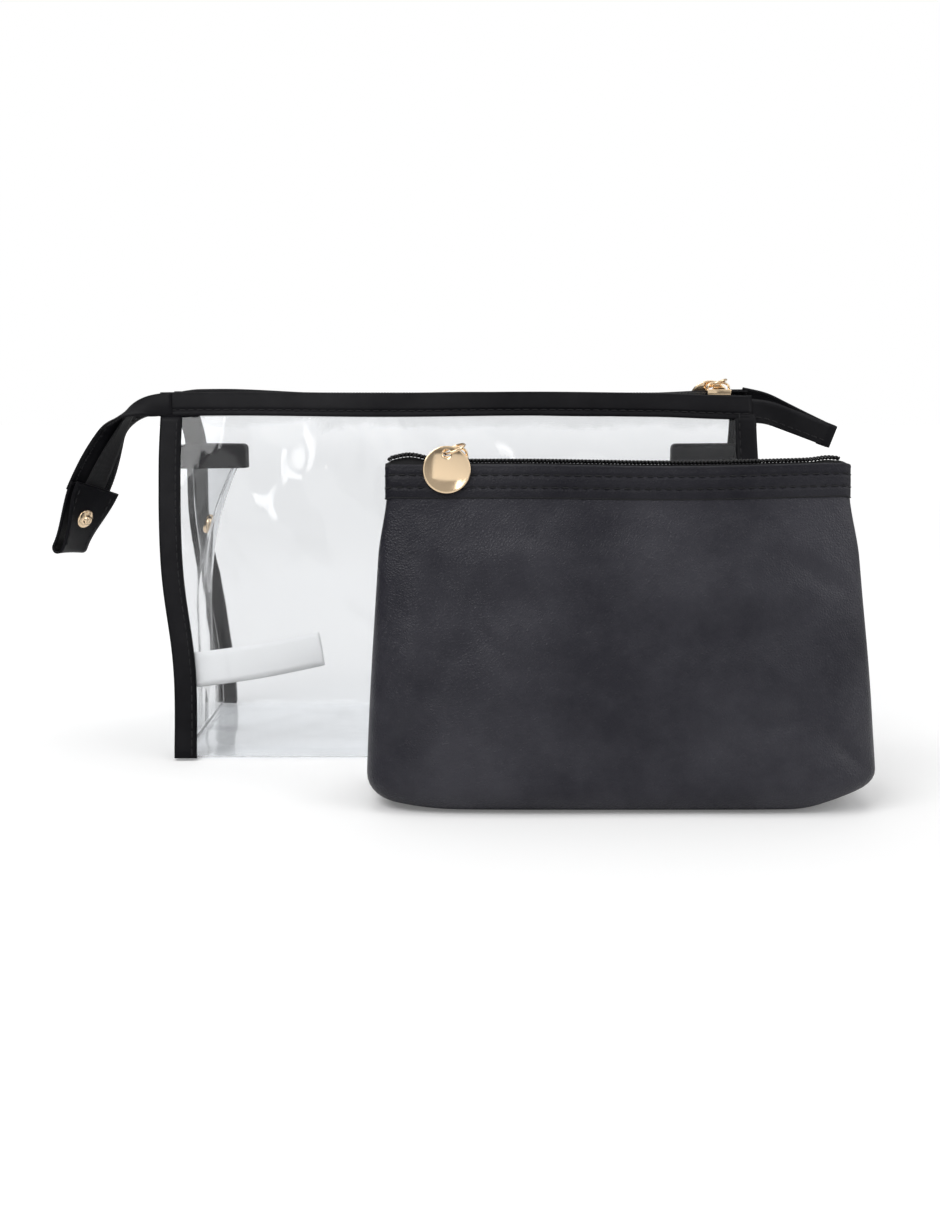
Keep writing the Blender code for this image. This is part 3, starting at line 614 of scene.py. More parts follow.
def make_seam_binding(end, side, name):
    normal = unit([0.0, side, WALL_SLOPE])
    rows = []
    seam = []
    for z in np.linspace(0.0005, MOUTH_TOP - BAND + 0.001, 46):
        x = end * case_half(z)
        y = side * case_wall(z)
        edge = np.array([x + back_shift(x, y, z), y, z])
        waver = 0.0003 * math.sin(z / 0.0093 + end + 2 * side)
        rows.append([edge + np.array([-end * (a + waver), 0, 0]) + normal * b
                     for a, b in u_section(BINDING - 0.0012)])
        seam.append(edge + np.array([-end * (BINDING - 0.0030 + waver), 0, 0]) + normal * BINDING_OUT)
    grid = np.array(rows)
    if end * side < 0:
        grid = grid[:, ::-1]
    make_binding(name, name + "_stitches", grid, seam, np.tile(normal, (len(seam), 1)))


def gusset_point(end, share, z):
    """A point of a gusset: share runs from -1 at the front seam to 1 at the back one."""
    edge = case_wall(z) - 0.0040
    y = share * edge
    tuck = GUSSET_TUCK * (z / GUSSET_TOP) ** TUCK_POWER * smooth((1 - abs(share)) / 0.72)
    x = end * (case_half(z) - 0.0022 - tuck)
    return np.array([x + back_shift(x, y, z), y, z])


def make_gusset(end, name):
    shares = np.linspace(-1, 1, 41)

    def creased(z, share):
        point = gusset_point(end, share, z)
        crease = 0.0006 * math.sin(share * 9 + z / 0.016) * smooth(z / 0.05) * (1 - share * share)
        point[0] += end * crease
        return point

    grid = point_grid(creased, np.linspace(0.0012, GUSSET_TOP, 44), shares)
    if end > 0:
        grid = grid[:, ::-1]
    sheet_piece = skin(name + "_film", grid, PVC, film)
    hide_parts(name)
    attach(sheet_piece, "case")
    rows = []
    seam = []
    normals = []
    for share in shares:
        top = gusset_point(end, share, GUSSET_TOP)
        before = gusset_point(end, max(share - 0.02, -1), GUSSET_TOP)
        after = gusset_point(end, min(share + 0.02, 1), GUSSET_TOP)
        along = after - before
        out = unit([end * along[1], -end * along[0], 0.0])
        rows.append([top + out * b + np.array([0, 0, -a]) for a, b in u_section(GUSSET_BINDING)])
        seam.append(top + out * BINDING_OUT + np.array([0, 0, 0.0020 - GUSSET_BINDING]))
        normals.append(out)
    grid = np.array(rows)
    if end > 0:
        grid = grid[:, ::-1]
    make_binding(name + "_binding", name + "_stitches", grid, seam, normals)


OUTSIDE_POINTS = 44
SEAM_SINK = 0.0005
SEAM_WIDTH = 0.0007
STRIP_BULGE = 0.0004
FOOT_TURN = 0.0005
FOOT_HEIGHT = 0.0008


def strip_section(foot, top, foot_y, inner_foot, seams):
    """(y, z) of a mouth strip from its foot up the outside, over the fold and down inside to the tape.

    The outside sinks at the heights of its seams, and its foot is turned in a little.
    """
    fold = (MOUTH_Y - FLANGE_Y) / 2
    points = []
    for share in np.linspace(0, 1, OUTSIDE_POINTS):
        height = (top - fold - foot) * share
        y = foot_y + (MOUTH_Y - foot_y) * share + STRIP_BULGE * math.sin(math.pi * share)
        y -= FOOT_TURN * max(0.0, 1 - height / FOOT_HEIGHT) ** 2
        for seam in seams:
            y -= SEAM_SINK * math.exp(-((height - seam) / SEAM_WIDTH) ** 2)
        points.append((y, foot + height))
    for step in range(1, 9):
        angle = math.pi * step / 8
        points.append((MOUTH_Y - fold + fold * math.cos(angle), top - fold + fold * math.sin(angle)))
    points.append((FLANGE_Y, min(inner_foot, top - fold - 0.0002)))
    return points


def mouth_strip(side, x_values, section, place):
    """Grid of a mouth strip along X; place gives the point of a section's (y, z) at some x."""
    grid = np.array([[place(x, y, z) for y, z in section] for x in x_values])
    return grid if side < 0 else grid[:, ::-1]


def seam_on_strip(side, x_values, section, place, height):
    """A line along a mouth strip at a height above its foot, with the outward normals."""
    ys, zs = np.array(section[:OUTSIDE_POINTS]).T
    level = zs[0] + height
    y = np.interp(level, zs, ys)
    line = [place(x, y, level) for x in x_values]
    return line, np.tile([0.0, side, 0.25], (len(line), 1))


def make_zip_side(bag, label, side, grid, path):
    """One tape of a zip and the coil along it."""
    tape = skin(f"{bag}_{label}_tape", grid if side > 0 else grid[:, ::-1], TAPE, zip_tape)
    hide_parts(f"{bag}_{label}_zip_tape")
    coil = tubes(f"{bag}_{label}_coil", [path], COIL_WIRE, 7, coil_nylon)
    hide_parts(f"{bag}_{label}_zip_coil")
    return tape, coil


def make_case_mouth(side, label):
    foot = MOUTH_TOP - BAND
    foot_y = case_wall(foot) + 0.0013
    section = strip_section(foot, MOUTH_TOP, foot_y, CASE_ZIP + 0.0004, (BAND_SEAM,))
    xs = np.linspace(FRONT_BAND_LEFT if side < 0 else BACK_BAND_LEFT, BAND_RIGHT, 130)

    def place(x, y, z):
        return x, side * y, z + band_rise(x, side)

    band = leather_strip(f"case_{label}_band_strip", mouth_strip(side, xs, section, place))
    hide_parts(f"case_{label}_band")
    paths = seam_paths(*seam_on_strip(side, xs, section, place, BAND_SEAM))
    seam = sew(f"case_{label}_band_stitches", paths)
    across = np.linspace(TAPE_INNER, TAPE_OUTER, 5)
    grid = np.array([[(x, side * y, CASE_ZIP + TAPE / 2 + zip_rise(x)) for y in across] for x in xs])
    path = coil_path(*CASE_COIL, side, 0.0, CASE_ZIP, zip_rise)
    for piece in (band, seam, *make_zip_side("case", label, side, grid, path)):
        if side < 0:
            bend_case_lip(piece)
        else:
            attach(piece, "case")


# Ears of the case


class EarLine:
    """The curve an ear follows: its points, and the front and up directions after its roll."""

    def __init__(self, root, end, slope, roll, length, count):
        s = np.linspace(0.0, length, count)
        angles = slope(s)
        step = s[1] - s[0]
        x = np.concatenate([[0.0], np.cumsum(np.cos(angles[:-1]) * step)])
        z = np.concatenate([[0.0], np.cumsum(-np.sin(angles[:-1]) * step)])
        self.s = s
        self.points = np.stack([root[0] + end * x, np.full(count, root[1]), root[2] + z], axis=1)
        up = np.stack([end * np.sin(angles), np.zeros(count), np.cos(angles)], axis=1)
        front = np.tile([0.0, -1.0, 0.0], (count, 1))
        turn = roll(s)[:, None]
        self.front = front * np.cos(turn) + up * np.sin(turn)
        self.up = up * np.cos(turn) - front * np.sin(turn)

    def axes(self, s):
        return [unit(interpolate(s, self.s, values)) for values in (self.front, self.up)]

    def at(self, s, across, height):
        """The point at length s, across towards the front and height above the tape."""
        front, up = self.axes(s)
        return interpolate(s, self.s, self.points) + across * front + height * up

    def matrix(self, s, height):
        front, up = self.axes(s)
        turn = Matrix((np.cross(up, front), front, up)).transposed().to_4x4()
        turn.translation = Vector(self.at(s, 0.0, height))
        return turn


EAR_LEAD = 0.0050


def bend_ear(obj, line):
    """Bakes a piece of an ear into world space; the points where the ear leaves the bands and 16 mm further
    out are looked up but not used.
    """
    line.at(EAR_LEAD, 0.0, 0.0)
    line.at(EAR_LEAD + 0.016, 0.0, 0.0)
    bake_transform(obj)


def make_straps(ear, line, length, count, section, seam_at):
    """The front and back straps of an ear, with a seam along one of the section's points.

    For a side and a length, section gives the strap's points (across, height) and its outward normal.
    """
    for side, label in ((1, "front"), (-1, "back")):
        rows = []
        normals = []
        for s in np.linspace(0.0, length, count):
            points, normal = section(side, s)
            rows.append([line.at(s, side * across, height) for across, height in points])
            normals.append(normal)
        grid = np.array(rows)
        strap = leather_strip(f"{ear}_{label}_strip", grid if side < 0 else grid[:, ::-1])
        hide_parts(f"{ear}_{label}_strap")
        bend_ear(strap, line)
        bend_ear(sew(f"{ear}_{label}_stitches", seam_paths(grid[:, seam_at], normals)), line)


def make_ear_tape(ear, line, edges, length, count):
    grid = np.array([[line.at(s, a, 0.0) for a in np.linspace(*edges, 7)]
                     for s in np.linspace(0.0, length, count)])
    tape = skin(f"{ear}_tape_strip", grid, TAPE, zip_tape)
    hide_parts(f"{ear}_tape")
    bend_ear(tape, line)


# Lengths along the ear's line, which starts EAR_LEAD inside the bands
LEFT_STRAP = 0.0595
LEFT_TAB = 0.0315
# Half the tab's width
TAB_HALF = 0.0108


def make_left_ear():
    def slope(s):
        return np.radians(6 + 52 * smooth((s - 0.002) / 0.026) + 9 * s / 0.093)

    def roll(s):
        back = np.radians(29) * smooth((s - 0.062) / 0.026)
        return np.radians(44) * smooth((s - 0.012) / 0.048) - back

    root = (LEFT_ROOT - 0.0012 + EAR_LEAD, 0.0, EAR_TOP)
    line = EarLine(root, -1, slope, roll, length=0.095, count=95)

    def section(side, s):
        rolled = smooth((s - EAR_LEAD) / 0.030)
        angle = math.radians(74) * (1 - rolled) - math.radians(14) * rolled
        width = 0.0098 - 0.0004 * rolled
        base = 0.0050 * (1 - rolled) + 0.0014 * rolled
        points = []
        for c in np.linspace(0, 1, 9):
            curl = 0.0007 * math.sin(math.pi * c)
            points.append((base + width * c * math.cos(angle) + curl * math.sin(angle),
                           0.0012 - width * c * math.sin(angle) + curl * math.cos(angle)))
        return points, line.at(s, side * math.sin(angle), math.cos(angle)) - line.at(s, 0, 0)

    make_straps("left_ear", line, LEFT_STRAP + 0.005, 46, section, seam_at=6)
    make_ear_tape("left_ear", line, (0.0050, -0.0050), LEFT_STRAP + 0.004, 40)
    make_left_tab(line)


def make_left_tab(line):
    """The tab folded round the end of the long ear, with its seams and the snap through it."""
    half = 0.0019
    bend = LEFT_STRAP + LEFT_TAB - half
    path = [(s, -half) for s in np.linspace(LEFT_STRAP - 0.001, bend, 20)]
    for angle in fold_angles(8):
        path.append((bend + half * math.sin(angle), -half * math.cos(angle)))
    path += [(s, half) for s in np.linspace(bend, LEFT_STRAP + 0.0008, 20)]

    def cupped(row, share):
        s, height = row
        narrow = 0.0006 * math.sin(s / 0.007)
        cup = -0.0012 * share * share * (1 if height > 0 else 0.7)
        return line.at(s, share * (TAB_HALF + narrow), height + 0.0008 + cup)

    tab = leather_strip("left_ear_tab_fold", point_grid(cupped, path, np.linspace(-1, 1, 15)))
    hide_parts("left_ear_tab")
    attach(tab, "left_ear")
    sewn = np.linspace(LEFT_STRAP + 0.001, LEFT_STRAP + LEFT_TAB - 0.0025, 30)
    edges = []
    for height, way in ((-half - 0.0002, -1.0), (half + 0.0012, 1.0)):
        normals = [line.at(s, 0, way) - line.at(s, 0, 0) for s in sewn]
        for share in (-0.78, 0.78):
            edges += seam_paths([line.at(s, share * TAB_HALF, height - 0.0004) for s in sewn], normals)
    stitches = sew("left_ear_tab_stitches", edges)
    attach(stitches, "left_ear")

    snap_at = LEFT_STRAP + 0.0145
    cap = [(0.0, 0.0015), (0.0022, 0.0014), (0.0036, 0.0010), (0.0044, 0.0004), (0.0045, 0.0),
           (0.0, 0.0)]
    top = lathe("left_ear_snap_cap", cap, line.matrix(snap_at, half + 0.0009))
    stud = [(0.0, -0.0030), (0.0014, -0.0029), (0.0021, -0.0024), (0.0019, -0.0012), (0.0026, -0.0009),
            (0.0041, -0.0007), (0.0045, -0.0003), (0.0043, 0.0), (0.0, 0.0)]
    under = lathe("left_ear_snap_stud", stud, line.matrix(snap_at, -half - 0.0001))
    snap = merge("left_ear_snap_metal", [top, under])
    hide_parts("left_ear_snap")
    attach(snap, "left_ear")


RIGHT_LENGTH = 0.0430
# Half the width of its tape
RIGHT_HALF = 0.0034


def make_right_ear():
    def slope(s):
        return np.radians(5 + 15 * smooth((s - 0.004) / 0.012))

    root = (RIGHT_ROOT + 0.0010 - EAR_LEAD, 0.0, EAR_TOP - 0.0022)
    line = EarLine(root, 1, slope, np.zeros_like, length=0.047, count=60)

    def section(side, s):
        share = s / RIGHT_LENGTH
        part = 0.0050 - 0.0020 * share + 0.0030 * math.sin(math.pi * share)
        lean = 0.0010 * math.sin(math.pi * share)
        flare = 0.0030 * (1 - smooth((s - EAR_LEAD) / 0.014))
        lift = 0.0012 if side > 0 else 0.0012 + 0.0048 * (1 - share)
        points = []
        for c in np.linspace(0, 1, 10):
            fold = 0.0011 * max(0.0, 1 - c / 0.14) ** 2
            points.append((part - fold + (flare - lean) * c, lift - 0.0102 * c))
        return points, [0.0, -side, 0.1]

    make_straps("right_ear", line, RIGHT_LENGTH, 40, section, seam_at=7)
    make_ear_tape("right_ear", line, (-RIGHT_HALF, RIGHT_HALF), RIGHT_LENGTH - 0.001, 30)
    around = [(s, RIGHT_HALF) for s in np.linspace(RIGHT_LENGTH - 0.004, RIGHT_LENGTH, 6)]
    around += [(RIGHT_LENGTH + 0.0004, 0.0032), (RIGHT_LENGTH + 0.0006, 0.0026)]
    around += [(s, -a) for s, a in reversed(around)]
    grid = np.array([[line.at(s, a, h) for h in np.linspace(0.0010, -0.0090, 8)] for s, a in around])
    wrap = leather_strip("right_ear_end_fold", grid, 0.0003)
    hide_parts("right_ear_end_wrap")
    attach(wrap, "right_ear")


def make_label():
    """The bare ribbon loop that hangs from the front left seam."""
    z = 0.0285
    start = np.array([-case_half(z) + 0.003, -case_wall(z) + 0.0032, z])
    way = unit([math.cos(math.radians(15)), math.sin(math.radians(15)), 0.115])
    up = unit(np.array([0.0, 0.30, 0.95]) - np.array([0.0, 0.30, 0.95]).dot(way) * way)
    out = np.cross(way, up)
    loop = 0.0016
    length = 0.060
    path = [(s, loop) for s in np.linspace(0, length, 24)]
    path += [(length + loop * math.sin(angle), loop * math.cos(angle)) for angle in fold_angles(8)]
    path += [(s, -loop) for s in np.linspace(length, 0, 24)]

    def bowed(row, h):
        s, b = row
        bow = 0.0012 * math.sin(s / 0.016) + 0.0010 * math.sin(math.pi * h / 0.015) * (s / length)
        sag = -0.0010 * math.sin(math.pi * s / length)
        return start + way * s + out * (b + bow) + up * (h + sag)

    grid = point_grid(bowed, path, np.linspace(0, 0.015, 7))
    label = skin("care_label_ribbon", grid, 0.00025, ribbon)
    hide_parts("care_label")
    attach(label, "case")


# Sliders and pulls


def make_pull(prefix, place, lead, hang, slope):
    """Slider with its crown, the jump ring through it and the dished disc on the ring."""
    x, y, zip_height = place
    ring_lean, ring_droop, hang_angle = (math.radians(value) for value in RING_TURNS)
    ring_body = "case_pull" if prefix == "case" else "pouch_ring"
    disc_body = "case_pull" if prefix == "case" else "pouch_disc"
    # Name, size, bevel and middle of each bar
    bars = (
        ("plate", (0.0110, 0.0062, 0.0012), 0.0005, (0, 0, 0.0027)),
        ("under", (0.0105, 0.0056, 0.0008), 0.0003, (0, 0, -0.0009)),
        ("rail", (0.0104, 0.0006, 0.0022), 0.0002, (0, -0.0028, 0.0016)),
        ("rail", (0.0104, 0.0006, 0.0022), 0.0002, (0, 0.0028, 0.0016)),
        ("post", (0.0032, 0.0007, 0.0034), 0.0002, (lead * 0.0033, 0, 0.0010)),
    )
    parts = []
    for name, size, bevel, middle in bars:
        move = Matrix.Translation(Vector(place) + Vector(middle))
        parts.append(rounded_bar(name, size, bevel, move, gold))
    arch = []
    for t in np.linspace(0, math.pi, 21):
        arch.append((x + 0.0048 * math.cos(t), y, zip_height + 0.0030 + 0.0034 * math.sin(t) ** 0.55))
    parts.append(tubes("crown", [arch], 0.00052, 10, gold))
    slider = merge(f"{prefix}_slider_metal", parts)
    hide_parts(f"{prefix}_zip_slider")
    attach(slider, f"{prefix}_slider")

    bar = np.array([x, y, zip_height + 0.0064])
    out = np.array([0.0, hang * math.cos(ring_droop), -math.sin(ring_droop)])
    across = np.array([math.sin(ring_lean), 0.0, math.cos(ring_lean)])
    across = unit(across - across.dot(out) * out)
    middle = bar + out * (RING_RADIUS - 0.0015)
    steps = np.linspace(0, 2 * math.pi, 64, endpoint=False)
    circle = [middle + RING_RADIUS * (out * math.cos(t) + across * math.sin(t)) for t in steps]
    ring = tubes(f"{prefix}_ring_metal", [circle], RING_WIRE, 12, gold, closed=True)
    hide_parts(f"{prefix}_jump_ring")
    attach(ring, ring_body)

    hang_point = middle + RING_RADIUS * (out * math.cos(hang_angle) - across * math.sin(hang_angle))
    lean = math.atan(slope)
    down = np.array([0.0, hang * math.sin(lean), -math.cos(lean)])
    normal = np.array([0.0, hang * math.cos(lean), math.sin(lean)])
    aside = np.cross(-down, normal)
    disc = make_disc(f"{prefix}_disc_metal")
    turn = Matrix((aside, -down, normal)).transposed().to_4x4()
    turn.translation = Vector(hang_point + down * DISC_HOLE_OUT)
    disc.data.transform(turn)
    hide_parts(f"{prefix}_disc_pull")
    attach(disc, disc_body)


def make_disc(name):
    """A dished disc with a rolled rim and one round hole near its edge."""
    segments = 96
    hole = 0.0016
    shares = np.concatenate([np.linspace(0, 0.9, 14), [0.94, 0.97, 0.99, 1.0]])
    angle = np.linspace(0, 2 * math.pi, segments, endpoint=False)
    inner = np.stack([hole * np.cos(angle), DISC_HOLE_OUT + hole * np.sin(angle)], axis=1)
    outer = np.stack([DISC_RADIUS * np.cos(angle), DISC_RADIUS * np.sin(angle)], axis=1)
    rings = []
    for face, order in ((1, shares), (-1, shares[::-1])):
        for share in order:
            flat = inner + (outer - inner) * share
            far = np.linalg.norm(flat, axis=1) / DISC_RADIUS
            rim = ((far - RIM_START) / RIM_WIDTH).clip(0)
            half = DISC_HALF * np.sqrt(np.clip(1 - rim ** 2, 0.02, 1))
            rings.append(np.column_stack([flat, DISC_DISH * far ** 2.2 + face * half]))
    faces = grid_faces(len(rings), segments, flip=True, wrap=True, closed=True)
    return add_piece(name, np.concatenate(rings), faces, gold)


def make_stop(name, x, y, zip_height, body):
    turn = Matrix.Translation((x, y, zip_height + 0.0012))
    stop = rounded_bar(name + "_clamp", (0.0032, 0.0046, 0.0016), 0.0005, turn, coil_nylon)
    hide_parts(name)
    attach(stop, body)


def make_socket():
    """The snap's socket, square to the tucked gusset where it sits."""
    steepness = TUCK_POWER * GUSSET_TUCK / GUSSET_TOP * (SOCKET_Z / GUSSET_TOP) ** (TUCK_POWER - 1)
    out = Vector((-1.0, 0.0, steepness)).normalized()
    centre = Vector(gusset_point(-1, 0.0, SOCKET_Z)) + out * 0.0013
    turn = Vector((0, 0, 1)).rotation_difference(out).to_matrix().to_4x4()
    turn.translation = centre
    profile = [(0.0, -0.0013), (0.0040, -0.0012), (0.0045, -0.0008), (0.0045, 0.0006), (0.0040, 0.0013),
               (0.0034, 0.0016), (0.0028, 0.0014), (0.0027, 0.0004), (0.0, 0.0004)]
    socket = lathe("gusset_socket_metal", profile, turn)
    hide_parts("gusset_snap_socket")
    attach(socket, "case")


# Pouch


def pouch_sides(z):
    """Left and right ends of the pouch at height z: the base is wider than the zip and further right."""
    share = smooth((z - 0.008) / 0.135) * 0.55
    share = share + 0.45 * np.clip((z - 0.012) / 0.1165, 0, 1)
    left = POUCH_X - POUCH_BASE_LEFT + (POUCH_BASE_LEFT - POUCH_TOP_HALF) * share
    right = POUCH_X + POUCH_BASE_RIGHT - (POUCH_BASE_RIGHT - POUCH_TOP_HALF) * share
    return left, right


def pouch_wall(z):
    return POUCH_WALL_TOP + (POUCH_TOP - z) * POUCH_SLOPE


# Creases of the front: middle (x, z), direction in degrees, half length, half width and depth
CREASES = [
    (0.001, 0.080, -52, 0.022, 0.0046, -0.0019),
    (0.009, 0.073, -40, 0.018, 0.0040, 0.0014),
    (0.073, 0.106, -35, 0.012, 0.0035, -0.0011),
    (0.134, 0.089, -28, 0.016, 0.0040, -0.0014),
    (0.062, 0.044, 42, 0.020, 0.0055, -0.0017),
    (0.040, 0.098, 12, 0.030, 0.0080, 0.0013),
    (0.100, 0.066, 8, 0.034, 0.0100, -0.0016),
    (-0.021, 0.028, 58, 0.012, 0.0032, -0.0013),
    (0.146, 0.023, -50, 0.012, 0.0034, -0.0014),
    (-0.016, 0.070, 88, 0.040, 0.0055, 0.0009),
    (0.118, 0.034, 20, 0.022, 0.0060, -0.0013),
]


def crease_depth(x, z):
    depth = np.zeros(np.broadcast(x, z).shape)
    for x0, z0, turn, length, width, height in CREASES:
        c = math.cos(math.radians(turn))
        s = math.sin(math.radians(turn))
        along = (x - x0) * c + (z - z0) * s
        across = -(x - x0) * s + (z - z0) * c
        depth = depth + height * np.exp(-(along / length) ** 2 - (across / width) ** 2)
    depth = depth + 0.0007 * np.sin(x / 0.019 + 1.3 * np.sin(z / 0.021)) * np.sin(z / 0.026 + 0.7)
    return depth


def pouch_grid(side, rows, columns, shrink):
    """Grid of one half of the pouch, from the seam under the base up to the mouth."""
    levels = [(POUCH_EDGE, 0.0, share) for share in np.linspace(0.0, 0.92, 8)]
    for step in range(10):
        angle = math.pi / 2 * step / 9
        levels.append((POUCH_EDGE * (1 - math.sin(angle)), POUCH_EDGE * (1 - math.cos(angle)), 1.0))
    for height in np.linspace(POUCH_EDGE, POUCH_ZIP - 0.004, rows)[1:]:
        levels.append((0.0, float(height), 1.0))
    grid = []
    angles = np.linspace(0.0, math.pi, columns)
    c = np.cos(angles)
    s = np.sin(angles)
    for inset, z, close in levels:
        left, right = pouch_sides(max(z, 0.004))
        inset_x = inset * 1.15 + shrink
        middle = (left + right) / 2
        half = (right - left) / 2 - inset_x - 0.0020 * smooth((z - 0.094) / 0.024)
        square = 2 / (5.6 + 1.6 * z / POUCH_ZIP)
        x = middle - np.copysign(half * np.abs(c) ** square, c)
        deep = (pouch_wall(z) - inset - shrink) * close
        y = deep * np.abs(s) ** square
        fade = smooth(z / 0.012) * smooth((POUCH_ZIP - 0.017 - z) / 0.016) * smooth(s / 0.35)
        belly = 0.0016 * math.sin(math.pi * min(z / 0.113, 1.0)) * smooth(s / 0.5)
        if side < 0:
            y = y + crease_depth(x, z) * fade + belly
        else:
            y = y + crease_depth(2 * POUCH_X - x, z * 0.9 + 0.01) * fade + belly
        corner = smooth((np.abs(x - middle) / max(half, 1e-6) - 0.72) / 0.28)
        lift = np.where(x > middle, 0.0050, 0.0012) * corner * smooth((0.03 - z) / 0.03)
        row_z = np.full_like(x, z + max(shrink, 0.0) * (1 - z / POUCH_ZIP)) + lift
        grid.append(np.stack([x, POUCH_Y + side * np.maximum(y, 0.0003), row_z], axis=1))
    return np.array(grid)


def make_pouch_shell(side, label):
    grid = pouch_grid(side, rows=60, columns=130, shrink=-POUCH_LEATHER)
    if side < 0:
        grid = grid[:, ::-1]
    shell = skin(f"pouch_{label}_leather", grid, POUCH_LEATHER, pouch_leather)
    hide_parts(f"pouch_{label}_shell")
    if side < 0:
        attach(shell, "pouch")
    else:
        bend_pouch_lip(shell)


def make_pouch_lining():
    front, back = (pouch_grid(side, rows=26, columns=60, shrink=0.0024) for side in (-1, 1))
    whole = np.concatenate([front[::-1], back[1:]], axis=0)
    lining = skin("pouch_lining_cloth", whole[::-1], 0.0003, lining_cloth)
    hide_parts("pouch_lining")
    bend_pouch_lip(lining, back_only=True)


def pouch_rise(x):
    """The mouth sags a little in the middle, and its corners are rounded off."""
    share = np.clip((x - POUCH_X) / POUCH_TOP_HALF, -1, 1)
    ends = -0.0008 * smooth((np.abs(share) - 0.97) / 0.03)
    return -0.0008 * (1 - share * share) + 0.0003 * np.sin(x / 0.018) + ends


def pouch_close(x):
    """The two facings meet at the ends of the mouth."""
    share = np.clip(np.abs(x - POUCH_X) / POUCH_MOUTH_HALF, 0, 1)
    return (1 - share ** 7.2) ** 0.139 * 0.94 + 0.06


def coil_rise(x):
    """The coil stands over the facings, most of all near both ends of the mouth."""
    ends = np.exp(-((x - (POUCH_X + POUCH_TOP_HALF - 0.008)) / 0.005) ** 2)
    start = np.exp(-((x - (POUCH_X - POUCH_TOP_HALF + 0.009)) / 0.008) ** 2)
    return pouch_rise(x) + COIL_LIFT + 0.0008 * ends + 0.0024 * start


def make_pouch_mouth(side, label):
    foot = POUCH_TOP - FACING
    foot_y = pouch_wall(foot) + 0.0016
    section = strip_section(foot, POUCH_TOP, foot_y, POUCH_ZIP, FACING_SEAMS)
    xs = POUCH_X + POUCH_MOUTH_HALF * np.sin(np.linspace(-math.pi / 2, math.pi / 2, 130))

    def place(x, y, z):
        return x, POUCH_Y + side * y * pouch_close(x), z + pouch_rise(x)

    strip = mouth_strip(side, xs, section, place)
    facing = skin(f"pouch_{label}_facing_strip", strip, STRIP, facing_leather,
                  ends=(xs[0], xs[-1]))
    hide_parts(f"pouch_{label}_facing")
    paths = []
    for height in FACING_SEAMS:
        paths += seam_paths(*seam_on_strip(side, xs, section, place, height))
    # A dark thread laid along the facing's lower edge is painted shade: it stands for the shadow line under
    # that edge
    paths.append(seam_on_strip(side, xs, section, place, 0.0002)[0])
    seam = sew(f"pouch_{label}_stitches", paths)
    # The tape climbs from the facing to the coil, and both facings pinch it at the ends of the mouth
    rows = []
    for y in np.linspace(TAPE_INNER, TAPE_OUTER, 5):
        climb = (coil_rise(xs) - pouch_rise(xs)) * (TAPE_OUTER - y) / (TAPE_OUTER - TAPE_INNER)
        level = POUCH_ZIP + TAPE / 2 + pouch_rise(xs) + climb
        rows.append(np.stack([xs, POUCH_Y + side * y * pouch_close(xs), level], axis=1))
    grid = np.stack(rows, axis=1)
    path = coil_path(*POUCH_COIL, side, POUCH_Y, POUCH_ZIP, coil_rise)
    parted = smooth((POUCH_SLIDER_X - path[:, 0]) / 0.012)
    path[:, 1] += side * 0.0007 * parted
    for piece in (facing, seam, *make_zip_side("pouch", label, side, grid, path)):
        if side > 0:
            bend_pouch_lip(piece)
        else:
            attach(piece, "pouch")


def build_set():
    make_wrap()
    for end, end_name in ((-1, "left"), (1, "right")):
        make_gusset(end, f"{end_name}_gusset")
        for side, side_name in ((-1, "front"), (1, "back")):
            make_seam_binding(end, side, f"{side_name}_{end_name}_binding")
    make_case_mouth(-1, "front")
    make_case_mouth(1, "back")
    make_left_ear()
    make_right_ear()
    make_socket()
    make_label()
    make_stop("case_zip_stop", CASE_STOP_X, 0.0, CASE_ZIP, "case")
    make_pull("case", (CASE_SLIDER_X, 0.0, CASE_ZIP + CASE_ZIP_SAG), 1, 1, WALL_SLOPE)
    make_pouch_shell(-1, "front")
    make_pouch_shell(1, "back")
    make_pouch_lining()
    make_pouch_mouth(-1, "front")
    make_pouch_mouth(1, "back")
    make_stop("pouch_zip_stop", POUCH_STOP_X, POUCH_Y, POUCH_ZIP, "pouch")
    make_pull("pouch", (POUCH_SLIDER_X, POUCH_Y, POUCH_ZIP + COIL_LIFT / 2), -1, -1, POUCH_SLOPE)


build_set()


# Studio


def area_light(name, place, aim, size, power):
    data = bpy.data.lights.new(name, "AREA")
    data.shape = "RECTANGLE"
    data.size = size[0]
    data.size_y = size[1]
    data.energy = power
    light = bpy.data.objects.new(name, data)
    bpy.context.scene.collection.objects.link(light)
    light.location = place
    light.rotation_euler = (Vector(aim) - Vector(place)).to_track_quat("-Z", "Y").to_euler()


def seen_straight(tree):
    """1 for what the camera sees directly or through the clear film, else 0."""
    path = node(tree, "ShaderNodeLightPath")
    return calculate(tree, "MAXIMUM", path.outputs["Is Camera Ray"], path.outputs["Is Transmission Ray"])


FLOOR_SIZE = 8.0
# A little under the part, so that no faces coincide
FLOOR_Z = -0.0004
CAMERA_TILT = 9.5


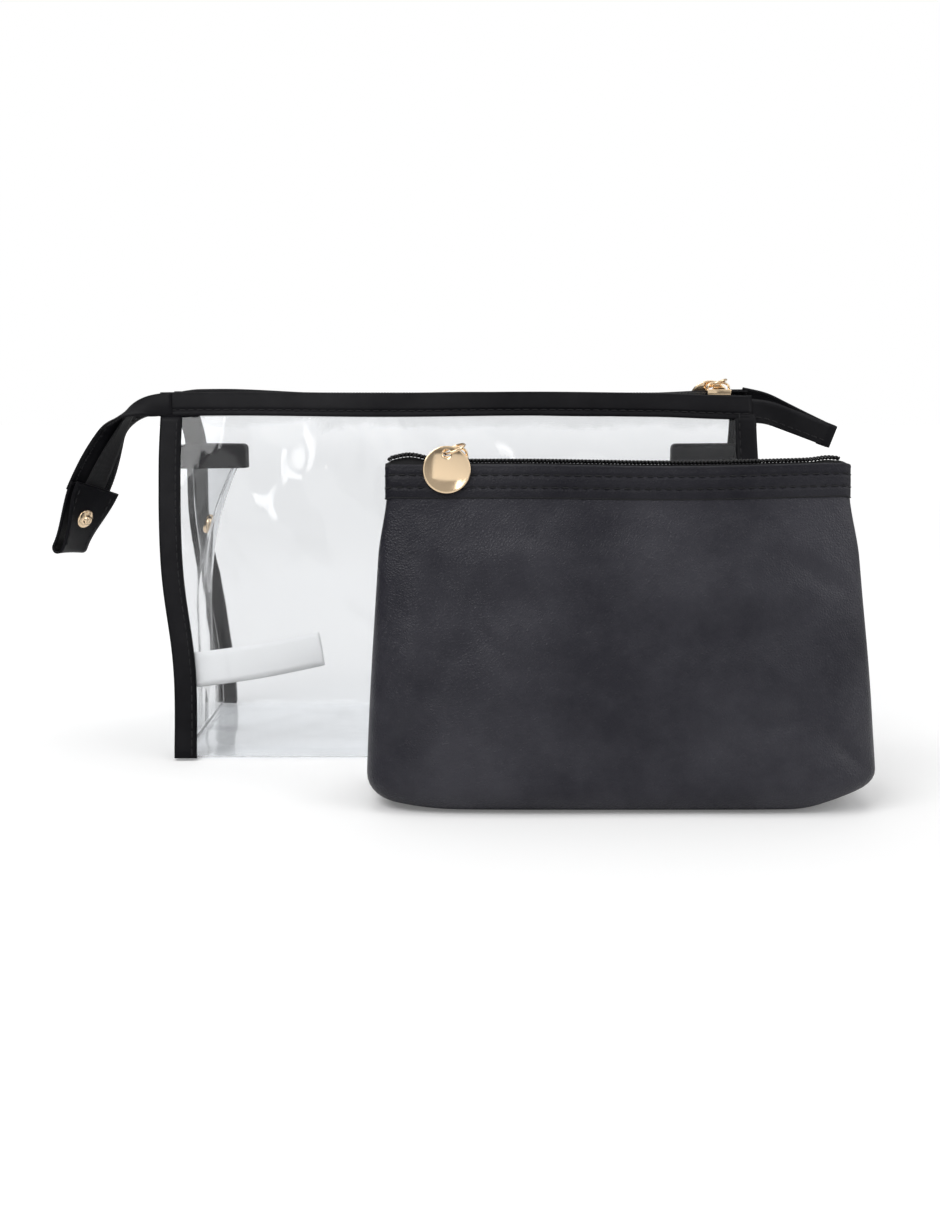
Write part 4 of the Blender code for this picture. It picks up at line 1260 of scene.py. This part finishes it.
def make_floor():
    material, tree, shader = new_material("studio_floor", (0.86, 0.86, 0.86), 0.7, Specular_IOR_Level=0.15)
    # The lamps light the floor less towards the back, so its glow rises from the front to the far edge
    depth = node(tree, "ShaderNodeSeparateXYZ", [("Vector", object_place(tree))]).outputs["Y"]
    rising = node(tree, "ShaderNodeValToRGB", [("Fac", shade_range(tree, depth, 0.0, 1.0, -0.2, 4.0))])
    stops = rising.color_ramp.elements
    for position in (0.17, 0.36):
        stops.new(position)
    for stop, level in zip(stops, (0.11, 0.38, 0.58, 0.85)):
        stop.color = (level, level, level, 1.0)
    strength = calculate(tree, "MULTIPLY", seen_straight(tree), rising.outputs["Color"])
    glow = node(tree, "ShaderNodeEmission", [("Strength", strength)], Color=(1.0, 1.0, 1.0, 1.0))
    both = node(tree, "ShaderNodeAddShader", [(0, shader.outputs["BSDF"]), (1, glow.outputs["Emission"])])
    plug(tree, tree.nodes["Material Output"], Surface=both.outputs["Shader"])
    bpy.ops.mesh.primitive_plane_add(size=FLOOR_SIZE, location=(0, 0, FLOOR_Z))
    floor = bpy.context.object
    floor.name = "studio_floor"
    floor.data.materials.append(material)


def make_world():
    """White where it is seen; for light and reflections a plain room, brighter above and to the right."""
    world = bpy.data.worlds.new("studio")
    world.use_nodes = True
    tree = world.node_tree
    back = tree.nodes["Background"]
    back.inputs["Color"].default_value = (1.0, 1.0, 1.0, 1.0)
    way = node(tree, "ShaderNodeTexCoord").outputs["Generated"]
    lit = node(tree, "ShaderNodeVectorMath", [(0, way)], operation="DOT_PRODUCT")
    lit.inputs[1].default_value = (0.45, 0.10, 0.88)
    room = node(tree, "ShaderNodeMapRange", [("Value", lit.outputs["Value"])], From_Min=-0.35,
                From_Max=0.75, To_Min=0.08, To_Max=0.50, interpolation_type="SMOOTHSTEP")
    links = [("Value", seen_straight(tree)), ("To Min", room.outputs["Result"])]
    strength = node(tree, "ShaderNodeMapRange", links, To_Max=1.0)
    plug(tree, back, Strength=strength.outputs["Result"])
    bpy.context.scene.world = world


def make_camera():
    data = bpy.data.cameras.new("photo_camera")
    data.sensor_width = 36.0
    data.lens = 40.9
    camera = bpy.data.objects.new("photo_camera", data)
    camera.location = (0.005, -0.625, 0.162)
    camera.rotation_euler = (math.radians(90 - CAMERA_TILT), 0.0, 0.0)
    bpy.context.scene.collection.objects.link(camera)
    bpy.context.scene.camera = camera


make_floor()
make_world()
make_camera()
area_light("key", (-0.55, -0.65, 0.95), (0.0, -0.05, 0.05), (0.8, 0.6), 6.4)
area_light("fill", (0.85, -0.45, 0.55), (0.05, -0.05, 0.07), (0.5, 0.8), 2.4)
area_light("top", (0.0, 0.15, 1.15), (0.0, -0.03, 0.0), (1.2, 0.8), 4.2)
area_light("strip", (-0.25, -0.95, 0.85), (-0.05, 0.0, 0.09), (0.07, 0.32), 0.36)
area_light("panel", (-0.15, -1.30, 0.50), (0.0, -0.1, 0.08), (0.9, 0.6), 1.1)

scene = bpy.context.scene
scene.view_settings.view_transform = "Standard"
